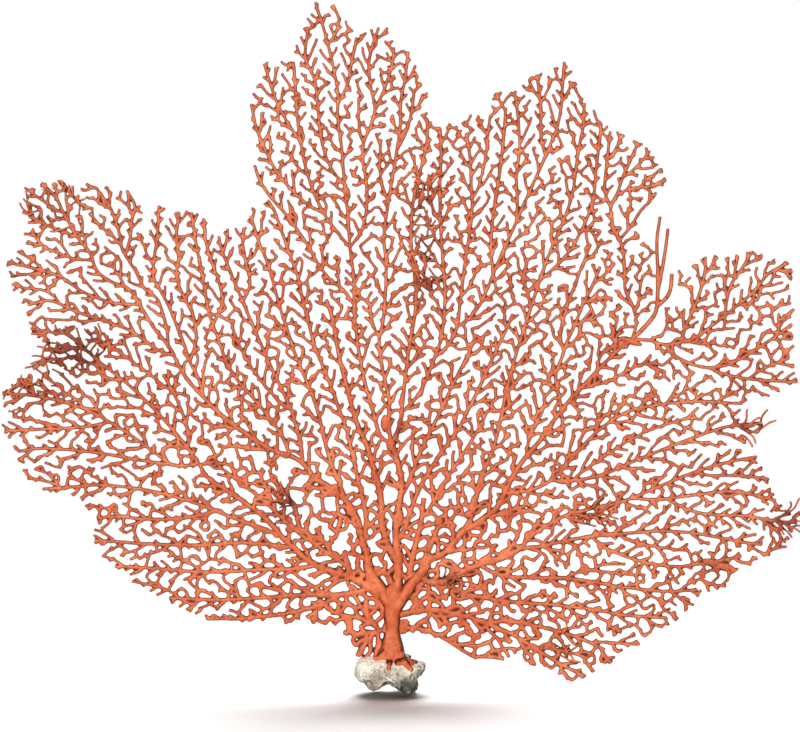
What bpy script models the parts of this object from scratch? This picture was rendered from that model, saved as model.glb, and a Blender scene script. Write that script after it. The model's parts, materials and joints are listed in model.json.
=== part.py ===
"""Sea fan: a flat orange-red fan coral on its loose stone.

The fan is split at its main forks. Each limb is one solid: its ribs, which
follow the real ones, and side twigs that grow from them to the fan's edge.
X runs across the fan, Y through its sheet, Z up. The origin is on the floor
under the middle of the fan. Sizes are in metres.
"""
import math
import random

import bmesh
import bpy
import numpy as np
from mathutils import Vector, noise

# Driving dimensions
FAN_WIDTH = 0.398
VIEW_WIDTH_PX = 796.0
VIEW_CENTRE_PX = 399.5
VIEW_FLOOR_PX = 697.0
PIXEL = FAN_WIDTH / VIEW_WIDTH_PX

TRUNK_RADIUS = 0.0055
SIX_SIDED_RADIUS = 0.0028
LIMB_SWELL = 0.0026
RIB_SWELL = 0.0011
TWIG_RADIUS = 0.0010
SWELL_LENGTH = 0.036
CROWN_PX = (393, 606)

# The sheet is a shallow bowl with a slow wave
CUP_DEPTH = 0.012
CUP_RADIUS = 0.200
CUP_HEIGHT = 0.120
WAVE_DEPTH = 0.002
WAVE_TURNS_X = 22.0
WAVE_TURNS_Z = 9.0

# Side twigs
SEED = 12
STEP = 0.0005
TWIG_PITCH = (0.034, 0.046)
TWIG_ANGLE = (46, 58)
TWIG_LEAN = 12
TWIG_BEND = 0.006
TWIG_TURN = 0.30
TWIG_MAX = 0.034
TWIG_MIN = 0.005
TWIG_AIR = 0.0022
TWIG_FREE = 0.010
TWIG_SIGHT = 0.3
RIB_LIFT = (0.0001, 0.0006)
TWIG_LIFT = (-0.0008, 0.0008)

# Solids
FORK_GAP = 0.0003
FORK_OFFSET = 0.4
FORK_AIR = 0.0009
FORK_SLACK = 0.0003
FORK_REACH = 0.045
BEND_SPAN = 0.006
RIB_SLACK = 0.0012
TWIG_SLACK = 0.0014
CORNER_SLACK = 0.0001
END_RUN = 1.5

# Stone
STONE_CENTRE_PX = (388.5, 678)
STONE_SIZE = (0.0345, 0.0420, 0.0205)
STONE_DEPTH_CENTRE = 0.0015
STONE_LUMP = 0.0016
STONE_LUMP_SCALE = 95.0
ARCH_PX = (388, 697)
ARCH_RADIUS = 0.0042
ARCH_DEPTH = 0.018
HOLDFAST_PX = (394, 663)
HOLDFAST_SIZE = (0.0215, 0.0190, 0.0080)

CORAL_COLOUR = (0.56, 0.155, 0.085, 1.0)
STONE_COLOUR = (0.62, 0.57, 0.48, 1.0)

# Ribs as they lie in the front view, in its pixels, from fork to tip
RIBS = {
    "trunk": {
        "trunk": [(392, 664), (392, 640), (392, 620), (393, 606)],
        "trunk_left_root": [(388, 632), (376, 634), (366, 644), (360, 658)],
        "trunk_left_twig": [(376, 634), (362, 636), (352, 641)],
    },
    "centre_limb": {
        "centre_limb": [(393, 606), (397, 590), (398, 570), (397, 550), (396, 525),
                        (400, 502), (402, 487), (399, 470), (396, 457), (391, 446)],
    },
    "left_limb": {
        "left_limb": [(393, 606), (381, 598), (371, 583), (367, 560), (361, 538),
                      (356, 519), (346, 503), (330, 489), (314, 480)],
    },
    "right_limb": {
        "right_limb": [(393, 606), (402, 599), (411, 589), (420, 578), (424, 568),
                       (431, 561), (440, 558), (449, 551), (463, 534)],
    },
    "left_long_limb": {
        "left_long": [(314, 480), (303, 465), (290, 457), (272, 451), (247, 435),
                      (223, 417), (204, 398), (190, 383), (179, 366), (170, 348),
                      (156, 330), (147, 316), (140, 304), (130, 289), (112, 281),
                      (98, 270), (91, 252), (79, 236), (66, 213), (58, 197), (44, 182)],
        "left_long_low": [(140, 304), (118, 303), (100, 298), (82, 290), (62, 276),
                          (38, 268), (9, 261)],
        "left_long_mid": [(94, 260), (75, 258), (55, 250), (45, 245), (33, 230)],
        "left_long_high": [(79, 236), (62, 230), (44, 222), (31, 215)],
        "left_long_root": [(173, 356), (158, 350), (146, 341), (130, 330), (110, 322),
                           (80, 312), (52, 300), (29, 304)],
        "left_peak": [(168, 346), (167, 330), (163, 313), (157, 298), (145, 288),
                      (137, 272), (124, 250), (121, 235), (113, 210), (98, 187)],
        "left_peak_tip": [(126, 254), (131, 238), (133, 220), (136, 205), (128, 190)],
    },
    "left_upper_limb": {
        "left_upper": [(204, 398), (198, 378), (190, 362), (184, 344), (177, 326),
                       (170, 308), (162, 292), (154, 276), (155, 256), (158, 238),
                       (160, 205)],
        "left_upper_tip": [(190, 362), (196, 340), (194, 318), (188, 304), (181, 290),
                           (177, 275), (179, 256), (177, 236), (180, 212)],
    },
    "left_arm": {
        "left_arm": [(290, 457), (280, 434), (264, 412), (249, 394), (237, 380),
                     (226, 362), (220, 344), (213, 325), (208, 308), (205, 290),
                     (201, 268), (196, 240), (192, 212)],
        "left_arm_tip": [(213, 325), (222, 305), (220, 285), (212, 262), (206, 240),
                         (204, 218)],
    },
    "left_high_arm": {
        "left_high_arm": [(303, 465), (299, 440), (292, 414), (281, 389), (270, 366),
                          (261, 345), (251, 322), (243, 302), (236, 286), (229, 268),
                          (222, 250), (219, 236)],
        "left_high_arm_tip": [(243, 302), (250, 284), (246, 262), (243, 245), (244, 228)],
    },
    "inner_left_limb": {
        "inner_left": [(346, 503), (338, 482), (330, 462), (324, 440), (319, 418),
                       (312, 396), (303, 374), (294, 352), (287, 330), (280, 308),
                       (274, 286), (268, 264), (259, 242), (251, 216)],
    },
    "inner_limb": {
        "inner": [(363, 545), (366, 522), (362, 498), (357, 478), (352, 455),
                  (346, 430), (338, 408), (331, 388), (323, 368), (315, 348),
                  (309, 326), (303, 303), (298, 278), (290, 255), (282, 232),
                  (275, 212), (268, 200)],
    },
    "peak_root_limb": {
        "peak_root": [(397, 566), (388, 548), (382, 525), (381, 505), (378, 485),
                      (372, 465), (366, 445), (357, 425), (351, 405), (346, 385),
                      (340, 362), (336, 340), (332, 318), (326, 300)],
    },
    "peak_limb": {
        "peak": [(391, 446), (381, 438), (376, 425), (371, 405), (366, 388),
                 (361, 365), (357, 340), (354, 310), (354, 280), (350, 248),
                 (348, 215), (345, 190), (342, 150), (338, 118), (338, 92),
                 (332, 60), (325, 32), (316, 3)],
        "peak_side": [(344, 185), (332, 170), (324, 150), (320, 128), (318, 104),
                      (315, 80), (306, 58), (309, 28)],
        "peak_front": [(338, 104), (348, 84), (352, 62), (357, 38)],
        "peak_tip": [(328, 45), (336, 34), (340, 20)],
    },
    "peak_left_limb": {
        "peak_left": [(350, 248), (340, 236), (324, 214), (313, 190), (306, 168),
                      (302, 148), (298, 120), (296, 90), (294, 62)],
        "peak_left_low": [(324, 214), (306, 203), (290, 188), (276, 170), (266, 150),
                          (257, 128), (252, 104)],
        "peak_left_tip": [(301, 142), (290, 126), (280, 108), (273, 90), (265, 64)],
    },
    "shoulder_limb": {
        "shoulder": [(354, 305), (343, 290), (330, 280), (318, 264), (308, 246),
                     (296, 228), (284, 212), (270, 196), (260, 180), (255, 165)],
    },
    "peak_right_limb": {
        "peak_right": [(350, 248), (362, 230), (367, 205), (366, 180), (363, 160),
                       (364, 142), (371, 126), (375, 108), (371, 88), (369, 66),
                       (372, 49), (379, 28)],
        "peak_right_tip": [(374, 112), (384, 90), (392, 66), (394, 48)],
    },
    "heart_limb": {
        "heart": [(391, 446), (389, 424), (389, 400), (385, 382), (381, 362),
                  (379, 342), (383, 322), (385, 300), (386, 280), (386, 262),
                  (384, 236), (388, 205), (393, 175), (397, 150), (400, 128),
                  (401, 100), (405, 80), (408, 52)],
        "heart_tip": [(397, 150), (406, 132), (412, 110), (414, 90)],
    },
    "heart_right_limb": {
        "heart_right": [(391, 446), (399, 428), (402, 410), (404, 390), (407, 365),
                        (410, 342), (414, 322), (416, 300), (415, 278), (412, 256),
                        (411, 230), (413, 203), (417, 183), (423, 160), (427, 140),
                        (427, 118)],
    },
    "high_middle_limb": {
        "high_middle": [(402, 414), (412, 404), (421, 392), (428, 376), (435, 358),
                        (441, 340), (444, 318), (445, 290), (443, 262), (441, 235),
                        (440, 205), (440, 178), (441, 150), (440, 128)],
        "high_middle_right": [(435, 358), (449, 345), (457, 328), (460, 305),
                              (463, 280), (466, 255), (470, 230), (472, 205),
                              (471, 185), (470, 160), (466, 133)],
    },
    "high_right_limb": {
        "high_right": [(457, 328), (470, 318), (480, 305), (487, 290), (493, 275),
                       (500, 258), (508, 240), (516, 222), (524, 203), (532, 185),
                       (541, 165), (549, 146), (556, 128), (560, 108), (561, 90),
                       (563, 62)],
        "high_right_left": [(493, 275), (491, 250), (492, 225), (495, 200),
                            (499, 175), (502, 150), (504, 128), (505, 108)],
        "high_right_tip": [(545, 155), (540, 135), (540, 108), (536, 75)],
        "high_right_mid": [(516, 222), (517, 200), (516, 175), (519, 150),
                           (518, 125), (515, 96)],
    },
    "flame_limb": {
        "flame": [(400, 500), (410, 482), (417, 462), (425, 444), (434, 426),
                  (443, 408), (451, 390), (460, 372), (469, 354), (476, 336)],
    },
    "right_flame_limb": {
        "right_flame": [(397, 545), (405, 530), (411, 512), (418, 494), (427, 477),
                        (438, 460), (449, 444), (460, 428), (469, 410), (478, 392),
                        (487, 372), (496, 352), (505, 333), (513, 314)],
    },
    "right_upper_limb": {
        "right_upper": [(463, 534), (472, 518), (477, 500), (480, 482), (487, 466),
                        (494, 449), (499, 430), (503, 410), (507, 392), (511, 374),
                        (516, 356), (522, 336), (528, 317), (534, 298), (540, 280),
                        (546, 262), (553, 244), (560, 228), (567, 210), (572, 192),
                        (575, 170), (578, 148), (582, 126), (583, 103)],
        "right_upper_tip": [(540, 280), (556, 266), (570, 250), (580, 232),
                            (588, 214), (593, 195), (595, 170), (598, 145), (600, 123)],
    },
    "right_long_limb": {
        "right_long": [(463, 534), (475, 527), (487, 518), (498, 509), (505, 495),
                       (512, 481), (520, 467), (530, 454), (541, 441), (551, 426),
                       (562, 411), (575, 395), (590, 379), (604, 364), (619, 349),
                       (632, 339)],
        "right_long_side": [(562, 411), (559, 394), (556, 376), (562, 358),
                            (568, 340), (576, 322), (583, 304), (592, 286), (600, 266)],
    },
    "right_top_limb": {
        "right_top": [(632, 339), (636, 322), (632, 305), (625, 290), (624, 272),
                      (623, 255), (619, 240), (612, 225), (610, 208), (616, 195),
                      (632, 188), (648, 186), (665, 180)],
        "right_top_side": [(619, 240), (630, 226), (640, 210), (650, 200)],
        "right_top_left": [(610, 208), (604, 190), (605, 170), (607, 150), (609, 131)],
        "right_top_tip": [(616, 195), (622, 176), (630, 158), (637, 142)],
    },
    "spikes": {
        "spike_root": [(632, 339), (645, 326), (655, 312), (657, 295), (657, 270),
                       (656, 240), (659, 216)],
        "spike": [(657, 290), (662, 265), (665, 245), (667, 228)],
        "spike_twig": [(656, 306), (666, 297), (670, 287), (671, 273)],
    },
    "right_tip_limb": {
        "right_tip": [(632, 339), (648, 340), (664, 344), (680, 342), (696, 336),
                      (710, 326), (724, 315), (737, 304), (748, 295), (757, 285),
                      (768, 272), (787, 262)],
        "right_tip_top": [(680, 342), (686, 324), (694, 306), (700, 288), (704, 270),
                          (704, 256)],
        "right_tip_high": [(724, 315), (726, 298), (731, 282), (741, 267), (750, 251)],
        "right_tip_low": [(664, 344), (676, 356), (692, 364), (708, 367), (724, 365),
                          (740, 358), (756, 348), (772, 337), (791, 323)],
        "right_tip_foot": [(708, 367), (726, 374), (748, 378), (772, 380), (797, 381)],
        "right_tip_side": [(748, 378), (764, 367), (788, 357)],
    },
    "right_wing": {
        "right_wing": [(505, 495), (520, 494), (536, 490), (551, 482), (563, 471),
                       (573, 458), (585, 445), (598, 432), (612, 421), (628, 412),
                       (645, 407), (663, 404), (682, 402), (702, 401), (722, 402),
                       (742, 403)],
        "right_wing_low": [(551, 482), (568, 482), (586, 480), (604, 475), (621, 468),
                           (638, 460), (655, 453), (672, 446), (690, 439), (708, 432),
                           (724, 427), (742, 424), (762, 422)],
    },
    "low_right_limb": {
        "low_right": [(420, 578), (430, 584), (442, 584), (454, 579), (466, 573),
                      (480, 567), (495, 563), (509, 558), (522, 550)],
    },
    "low_wing": {
        "low_wing": [(522, 550), (530, 540), (542, 531), (555, 523), (569, 516),
                     (584, 512), (600, 508), (616, 504), (632, 499), (648, 492),
                     (664, 485), (680, 478), (698, 471), (716, 465), (736, 460),
                     (757, 456)],
        "low_wing_mid": [(632, 499), (650, 500), (668, 499), (688, 496), (708, 493),
                         (730, 491), (752, 494), (776, 500)],
        "low_wing_low": [(668, 499), (686, 509), (706, 514), (728, 515), (750, 516),
                         (772, 520), (797, 522)],
    },
    "low_middle_limb": {
        "low_middle": [(522, 550), (538, 549), (556, 545), (574, 541), (592, 538),
                       (612, 536), (632, 534), (654, 532), (676, 532), (698, 534),
                       (722, 538), (744, 542), (762, 544)],
        "low_middle_low": [(592, 538), (606, 549), (622, 556), (640, 562), (660, 566),
                           (682, 567), (702, 564), (722, 560), (742, 556)],
    },
    "low_side_limb": {
        "low_side": [(480, 567), (494, 575), (510, 579), (528, 580), (546, 580),
                     (564, 580), (582, 582), (600, 585), (618, 588), (638, 590),
                     (658, 592), (678, 592), (698, 590)],
    },
    "low_foot_limb": {
        "low_foot": [(442, 584), (454, 592), (468, 597), (484, 600), (500, 603),
                     (518, 605), (536, 606), (554, 607), (572, 609), (590, 611),
                     (608, 614), (628, 617), (648, 618), (668, 619)],
    },
    "foot_right_limb": {
        "foot_right": [(393, 618), (407, 616), (422, 613), (438, 613), (454, 616),
                       (470, 620), (486, 626), (502, 632), (518, 640), (534, 650),
                       (550, 660), (566, 669), (587, 679)],
        "foot_right_mid": [(486, 626), (504, 624), (524, 626), (544, 630), (564, 635),
                           (584, 642), (606, 652)],
    },
    "foot_low_limb": {
        "foot_low": [(392, 630), (405, 630), (422, 632), (438, 638), (452, 646),
                     (464, 654), (476, 661)],
    },
    "left_low_limb": {
        "left_low": [(381, 598), (370, 590), (358, 583), (344, 577), (330, 573),
                     (316, 567), (304, 559), (293, 549), (282, 539), (272, 527),
                     (261, 516), (249, 507), (237, 498), (222, 488), (208, 480)],
    },
    "left_wing": {
        "left_wing": [(208, 480), (198, 464), (188, 449), (176, 434), (164, 420),
                      (152, 407), (140, 395), (127, 383), (112, 371), (96, 358),
                      (79, 342), (59, 328)],
        "left_wing_mid": [(198, 464), (186, 466), (172, 465), (156, 454), (141, 443),
                          (126, 432), (110, 422), (92, 412), (72, 404), (50, 398),
                          (26, 394), (3, 393)],
        "left_wing_low": [(172, 465), (150, 462), (128, 458), (106, 454), (84, 451),
                          (62, 449), (40, 448), (18, 451)],
        "left_wing_tip": [(110, 422), (88, 426), (64, 428), (36, 429), (5, 430)],
        "left_wing_top": [(188, 449), (187, 430), (181, 410), (173, 392), (163, 374)],
    },
    "left_fan": {
        "left_fan": [(282, 539), (266, 531), (250, 525), (233, 519), (216, 512),
                     (198, 505), (180, 499), (162, 494), (143, 490), (122, 487),
                     (98, 485), (70, 487), (42, 489)],
        "left_fan_mid": [(216, 512), (198, 516), (178, 519), (158, 520), (138, 519),
                         (118, 517), (96, 518)],
    },
    "left_fan_low_limb": {
        "left_fan_low": [(293, 549), (276, 547), (258, 545), (240, 544), (220, 545),
                         (200, 546), (180, 546), (158, 545), (136, 544), (115, 542),
                         (94, 541)],
    },
    "left_skirt": {
        "left_skirt": [(316, 567), (300, 570), (282, 571), (264, 571), (244, 572),
                       (224, 573), (204, 573), (184, 572), (162, 570), (138, 568),
                       (114, 567)],
    },
    "left_hem": {
        "left_hem": [(370, 590), (356, 595), (340, 597), (322, 597), (304, 597),
                     (286, 598), (268, 599), (250, 600), (230, 601), (210, 601),
                     (190, 600), (168, 599)],
        "left_hem_low": [(340, 597), (322, 606), (302, 612), (282, 616), (262, 618),
                         (242, 620), (222, 620), (205, 620)],
    },
}

# The fan's edge, clockwise from the lower left
EDGE_PX = [
    (376, 658), (352, 645), (330, 628), (300, 628), (268, 626), (205, 624), (163, 604),
    (127, 581), (111, 570), (91, 544), (92, 520), (80, 501), (41, 493), (24, 476),
    (14, 452), (1, 432), (1, 391), (28, 370), (38, 358), (33, 335), (25, 307), (13, 297),
    (13, 281), (6, 261), (20, 250), (28, 215), (27, 186), (42, 179), (68, 182), (98, 184),
    (128, 187), (144, 204), (147, 235), (156, 203), (186, 208), (203, 212), (219, 231),
    (245, 222), (250, 206), (266, 198), (253, 182), (255, 150), (249, 118), (250, 100),
    (257, 82), (263, 61), (291, 60), (291, 50), (307, 20), (316, 1), (330, 2), (346, 18),
    (358, 34), (378, 25), (392, 30), (396, 46), (410, 49), (418, 73), (430, 88),
    (429, 115), (440, 124), (455, 122), (471, 113), (486, 117), (490, 93), (515, 88),
    (534, 70), (548, 72), (563, 58), (575, 73), (585, 100), (602, 120), (613, 130),
    (640, 138), (656, 160), (668, 180), (653, 201), (640, 212), (638, 229), (646, 240),
    (652, 213), (661, 213), (671, 226), (674, 268), (690, 262), (704, 252), (725, 255),
    (750, 247), (759, 252), (790, 259), (792, 274), (792, 298), (794, 323), (792, 357),
    (799, 381), (777, 394), (744, 406), (742, 418), (766, 422), (744, 452), (762, 456),
    (770, 478), (780, 498), (799, 522), (786, 548), (762, 560), (744, 568), (724, 590),
    (704, 596), (680, 622), (654, 639), (626, 654), (612, 666), (589, 681), (569, 687),
    (548, 672), (528, 670), (507, 662), (476, 664), (447, 648), (420, 636), (402, 638),
]

MAIN_RIBS = ("trunk", "centre_limb", "left_limb", "right_limb", "right_long", "left_low",
             "low_right", "left_long", "peak_root")


def front(point_px):
    """Front-view pixel to (x, z) in metres."""
    return ((point_px[0] - VIEW_CENTRE_PX) * PIXEL, (VIEW_FLOOR_PX - point_px[1]) * PIXEL)


def sheet_depth(x, z):
    """Y of the fan's curved sheet at (x, z)."""
    bowl = 0.5 - (x * x + (z - CUP_HEIGHT) ** 2) / CUP_RADIUS ** 2
    return CUP_DEPTH * bowl + WAVE_DEPTH * math.sin(WAVE_TURNS_X * x + WAVE_TURNS_Z * z)


def even_path(corners, pitch):
    """Smooth curve through the corners, with a point at every pitch."""
    knots = [np.array(corner, float) for corner in corners]
    knots = [2 * knots[0] - knots[1]] + knots + [2 * knots[-1] - knots[-2]]
    fine = []
    for before, start, end, after in zip(knots, knots[1:], knots[2:], knots[3:]):
        for t in np.linspace(0.0, 1.0, 24, endpoint=False):
            fine.append(0.5 * (2 * start + (end - before) * t
                               + (2 * before - 5 * start + 4 * end - after) * t ** 2
                               + (3 * start - before - 3 * end + after) * t ** 3))
    fine = np.array(fine + [knots[-2]])
    along = np.concatenate([[0.0], np.cumsum(np.linalg.norm(np.diff(fine, axis=0), axis=1))])
    wanted = np.linspace(0.0, along[-1], max(1, round(along[-1] / pitch)) + 1)
    return np.column_stack([np.interp(wanted, along, fine[:, axis]) for axis in (0, 1)])


def key_points(path, slack):
    """Numbers of the points that keep straight runs within the slack of the path."""
    run = path[-1] - path[0]
    away = path - path[0]
    off = np.abs(away[:, 0] * run[1] - away[:, 1] * run[0]) / np.linalg.norm(run)
    worst = int(np.argmax(off))
    if off[worst] < slack:
        return [0, len(path) - 1]
    before = key_points(path[:worst + 1], slack)
    after = key_points(path[worst:], slack)
    return before + [worst + point for point in after[1:]]


def straighten(path, slack):
    """Straight runs that keep within the slack of a path, with even points."""
    corners = path[key_points(path, slack)]
    pieces = []
    for start, end in zip(corners, corners[1:]):
        count = max(1, round(np.linalg.norm(end - start) / STEP))
        pieces.append(start + (end - start) * np.arange(count)[:, None] / count)
    return np.vstack(pieces + [corners[-1:]])


class Branch:
    """One rib or twig: its path in the sheet, its radii and the limb it belongs to."""

    def __init__(self, name, limb, path, radii, lift, parent=None, fork=0):
        self.name = name
        self.limb = limb
        self.path = path
        self.radii = radii
        self.parent = parent
        self.fork = fork
        self.start = 0
        corners = key_points(path, CORNER_SLACK)
        depths = [sheet_depth(*path[corner]) + lift for corner in corners]
        if parent:
            depths[0] = parent.depth[fork] + FORK_OFFSET * lift
        self.depth = np.interp(np.arange(len(path)), corners, depths)


def rib_radii(name, path):
    """Radius at each point of a rib, thick near the crown and thin at the edge."""
    if name == "trunk":
        return np.full(len(path), TRUNK_RADIUS)
    swell = LIMB_SWELL if name in MAIN_RIBS else RIB_SWELL
    far = np.linalg.norm(path - np.array(front(CROWN_PX)), axis=1)
    return TWIG_RADIUS * 1.05 + swell * np.exp(-far / SWELL_LENGTH)


def lay_ribs():
    """Ribs from the traced lists, each starting on the rib it forks from."""
    rng = random.Random(SEED)
    ribs = []
    for limb, traces in RIBS.items():
        for name, trace in traces.items():
            path = even_path([front(point) for point in trace], STEP)
            parent, nearest = None, 0
            if ribs:
                gaps = [np.min(np.linalg.norm(rib.path - path[0], axis=1)) for rib in ribs]
                parent = ribs[int(np.argmin(gaps))]
                nearest = int(np.argmin(np.linalg.norm(parent.path - path[0], axis=1)))
                shift = parent.path[nearest] - path[0]
                fade = np.exp(-np.arange(len(path)) * STEP / TWIG_BEND)
                path = path + shift * fade[:, None]
            path = straighten(path, RIB_SLACK)
            lift = rng.uniform(*RIB_LIFT)
            ribs.append(Branch(name, limb, path, rib_radii(name, path), lift, parent, nearest))
    return ribs


def cut_forks(ribs):
    """Move each limb's start out to where it is clear of every other limb."""
    for rib in ribs:
        if rib.parent is None or rib.parent.limb == rib.limb:
            continue
        reach = min(len(rib.path) - 2, int(FORK_REACH / STEP))
        for other in ribs:
            if other.limb == rib.limb or other.parent is rib:
                continue
            for i in range(reach, rib.start, -1):
                gaps = np.linalg.norm(other.path - rib.path[i], axis=1) - other.radii
                if np.min(gaps) < rib.radii[i] + FORK_AIR:
                    rib.start = i
                    break


def fork_owner(rib):
    """Limb whose solid carries a rib's fork."""
    parent, fork = rib.parent, rib.fork
    while fork < parent.start:
        parent, fork = parent.parent, parent.fork
    return parent.limb


def stub_end(rib):
    """Last point of the stub that carries a limb, a gap before the limb starts."""
    span = max(1, round(BEND_SPAN / STEP))
    before = rib.path[rib.start] - rib.path[max(0, rib.start - span)]
    after = rib.path[rib.start + span] - rib.path[rib.start]
    turn = abs(math.atan2(before[0] * after[1] - before[1] * after[0], before @ after))
    gap = FORK_GAP + FORK_SLACK + rib.radii[rib.start] * min(1.0, turn)
    return rib.start - max(1, math.ceil(gap / STEP))


def inside_edge(x, z, edge):
    """Whether (x, z) is inside the fan's edge."""
    ahead = np.roll(edge, -1, axis=0)
    crosses = (edge[:, 1] > z) != (ahead[:, 1] > z)
    rise = np.where(crosses, ahead[:, 1] - edge[:, 1], 1.0)
    at = (ahead[:, 0] - edge[:, 0]) * (z - edge[:, 1]) / rise + edge[:, 0]
    return np.count_nonzero(crosses & (x < at)) % 2 == 1


def heading_field(ribs):
    """Function giving the ribs' mean direction near a point."""
    middles = np.vstack([0.5 * (rib.path[1:] + rib.path[:-1]) for rib in ribs])[::3]
    runs = np.vstack([np.diff(rib.path, axis=0) / STEP for rib in ribs])[::3]

    def heading(x, z):
        far = (middles[:, 0] - x) ** 2 + (middles[:, 1] - z) ** 2
        weight = 1.0 / (far + 0.004 ** 2) ** 2
        return math.atan2(float(runs[:, 1] @ weight), float(runs[:, 0] @ weight))

    return heading


def grow_twigs(ribs):
    """Side twigs, left and right in turn, that fill the room between the ribs."""
    rng = random.Random(SEED)
    edge = np.array([front(point) for point in EDGE_PX])
    heading = heading_field(ribs)
    points = [rib.path for rib in ribs]
    radii = [rib.radii for rib in ribs]
    owners = [np.full(len(rib.path), number) for number, rib in enumerate(ribs)]
    taken, thick, owner = np.vstack(points), np.concatenate(radii), np.concatenate(owners)
    twigs = []
    buds = []
    for number, rib in enumerate(ribs):
        if rib.name in ("trunk", "spike_root", "spike", "spike_twig"):
            continue
        side = rng.choice((-1, 1))
        at = rib.start * STEP + rng.uniform(*TWIG_PITCH) * 0.7
        while at < (len(rib.path) - 4) * STEP:
            side = -side
            buds.append((at, number, side))
            at += rng.uniform(*TWIG_PITCH)
    buds.sort()
    for at, number, side in buds:
        rib = ribs[number]
        i = int(at / STEP)
        run = rib.path[i + 1] - rib.path[i - 1]
        angle = math.atan2(run[1], run[0]) + side * math.radians(rng.uniform(*TWIG_ANGLE))
        path = [rib.path[i]]
        own = (owner == number) & (np.linalg.norm(taken - rib.path[i], axis=1) < TWIG_FREE)
        limit = TWIG_MAX * rng.uniform(0.6, 1.0)
        while len(path) * STEP < limit:
            x, z = path[-1]
            open_by = math.radians(TWIG_LEAN + 40 * math.exp(-len(path) * STEP / TWIG_BEND))
            turn = (heading(x, z) + side * open_by - angle + math.pi) % (2 * math.pi) - math.pi
            angle += max(-TWIG_TURN, min(TWIG_TURN, turn))
            ahead = np.array([x + STEP * math.cos(angle), z + STEP * math.sin(angle)])
            away = taken - ahead
            far = np.linalg.norm(away, axis=1)
            facing = away @ (ahead - path[-1]) > TWIG_SIGHT * STEP * far
            air = far - thick - TWIG_RADIUS - np.where(facing, TWIG_AIR, FORK_AIR)
            if np.min(air[~own]) < 0.0 or not inside_edge(ahead[0], ahead[1], edge):
                break
            path.append(ahead)
        if len(path) * STEP < TWIG_MIN + rib.radii[i]:
            continue
        path = straighten(np.array(path), TWIG_SLACK)
        radii = np.full(len(path), TWIG_RADIUS)
        twig = Branch("twig", rib.limb, path, radii, rng.uniform(*TWIG_LIFT), rib, i)
        twigs.append(twig)
        number_of_twig = len(ribs) + len(twigs) - 1
        taken = np.vstack([taken, path])
        thick = np.concatenate([thick, twig.radii])
        owner = np.concatenate([owner, np.full(len(path), number_of_twig)])
    return twigs


def collection(name):
    """New collection linked to the scene."""
    made = bpy.data.collections.new(name)
    bpy.context.scene.collection.children.link(made)
    return made


def surface(name, colour, roughness):
    """Principled material for a solid."""
    made = bpy.data.materials.new(name)
    made.use_nodes = True
    shader = made.node_tree.nodes["Principled BSDF"]
    shader.inputs["Base Color"].default_value = colour
    shader.inputs["Roughness"].default_value = roughness
    shader.inputs["Metallic"].default_value = 0.0
    return made


def tube(name, branch, span, sides_step, target):
    """Closed tube along a span of a branch, as a mesh object welded at its caps."""
    path, radii, depth = branch.path[span], branch.radii[span], branch.depth[span]
    corners = key_points(path, CORNER_SLACK)
    room = END_RUN * max(radii) / STEP
    picks = [corner for corner in corners if room < corner < len(path) - 1 - room]
    picks = [0] + picks + [len(path) - 1]
    data = bpy.data.curves.new(name, "CURVE")
    data.dimensions = "3D"
    data.bevel_depth = 1.0
    data.bevel_resolution = sides_step
    data.use_fill_caps = True
    spline = data.splines.new("POLY")
    spline.points.add(len(picks) - 1)
    for point, i in zip(spline.points, picks):
        point.co = (path[i][0], depth[i], path[i][1], 1.0)
        point.radius = radii[i]
    guide = bpy.data.objects.new(name + "_guide", data)
    bpy.context.scene.collection.objects.link(guide)
    bpy.context.view_layer.update()
    graph = bpy.context.evaluated_depsgraph_get()
    mesh = bpy.data.meshes.new_from_object(guide.evaluated_get(graph))
    mesh.name = name
    weld(mesh)
    bpy.data.objects.remove(guide)
    made = bpy.data.objects.new(name, mesh)
    target.objects.link(made)
    return made


def weld(mesh):
    """Merge a mesh's doubled corners and point its faces outwards."""
    shape = bmesh.new()
    shape.from_mesh(mesh)
    bmesh.ops.remove_doubles(shape, verts=shape.verts, dist=0.00001)
    bmesh.ops.recalc_face_normals(shape, faces=shape.faces)
    shape.to_mesh(mesh)
    shape.free()


def as_cutter(piece):
    """Hide a piece that only shapes another."""
    piece.hide_render = True
    piece.display_type = "WIRE"


def unite(piece, helpers):
    """Boolean union of a piece with a collection of helpers."""
    union = piece.modifiers.new("Union", "BOOLEAN")
    union.operation = "UNION"
    union.operand_type = "COLLECTION"
    union.collection = helpers
    union.solver = "EXACT"


def branch_sides(rib):
    """Curve bevel steps: six sides on a thick rib and four on a thin one."""
    return 1 if rib.radii[0] > SIX_SIDED_RADIUS else 0


def make_limb(limb, ribs, twigs, parts, cutters, coral):
    """One limb: its first rib, and its other ribs, stubs and twigs as helpers."""
    helpers = bpy.data.collections.new(limb + "_pieces")
    cutters.children.link(helpers)
    own = [rib for rib in ribs if rib.limb == limb]
    piece = tube(limb, own[0], slice(own[0].start, None), branch_sides(own[0]), parts)
    for rib in own[1:]:
        tube(rib.name, rib, slice(rib.start, None), branch_sides(rib), helpers)
    for rib in ribs:
        if rib.start and fork_owner(rib) == limb:
            tube(rib.name + "_stub", rib, slice(None, stub_end(rib) + 1),
                 branch_sides(rib), helpers)
    for twig in twigs:
        if twig.limb == limb:
            tube(limb + "_twig", twig, slice(None), 0, helpers)
    for helper in helpers.objects:
        as_cutter(helper)
    piece.data.materials.append(coral)
    return piece


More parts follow.
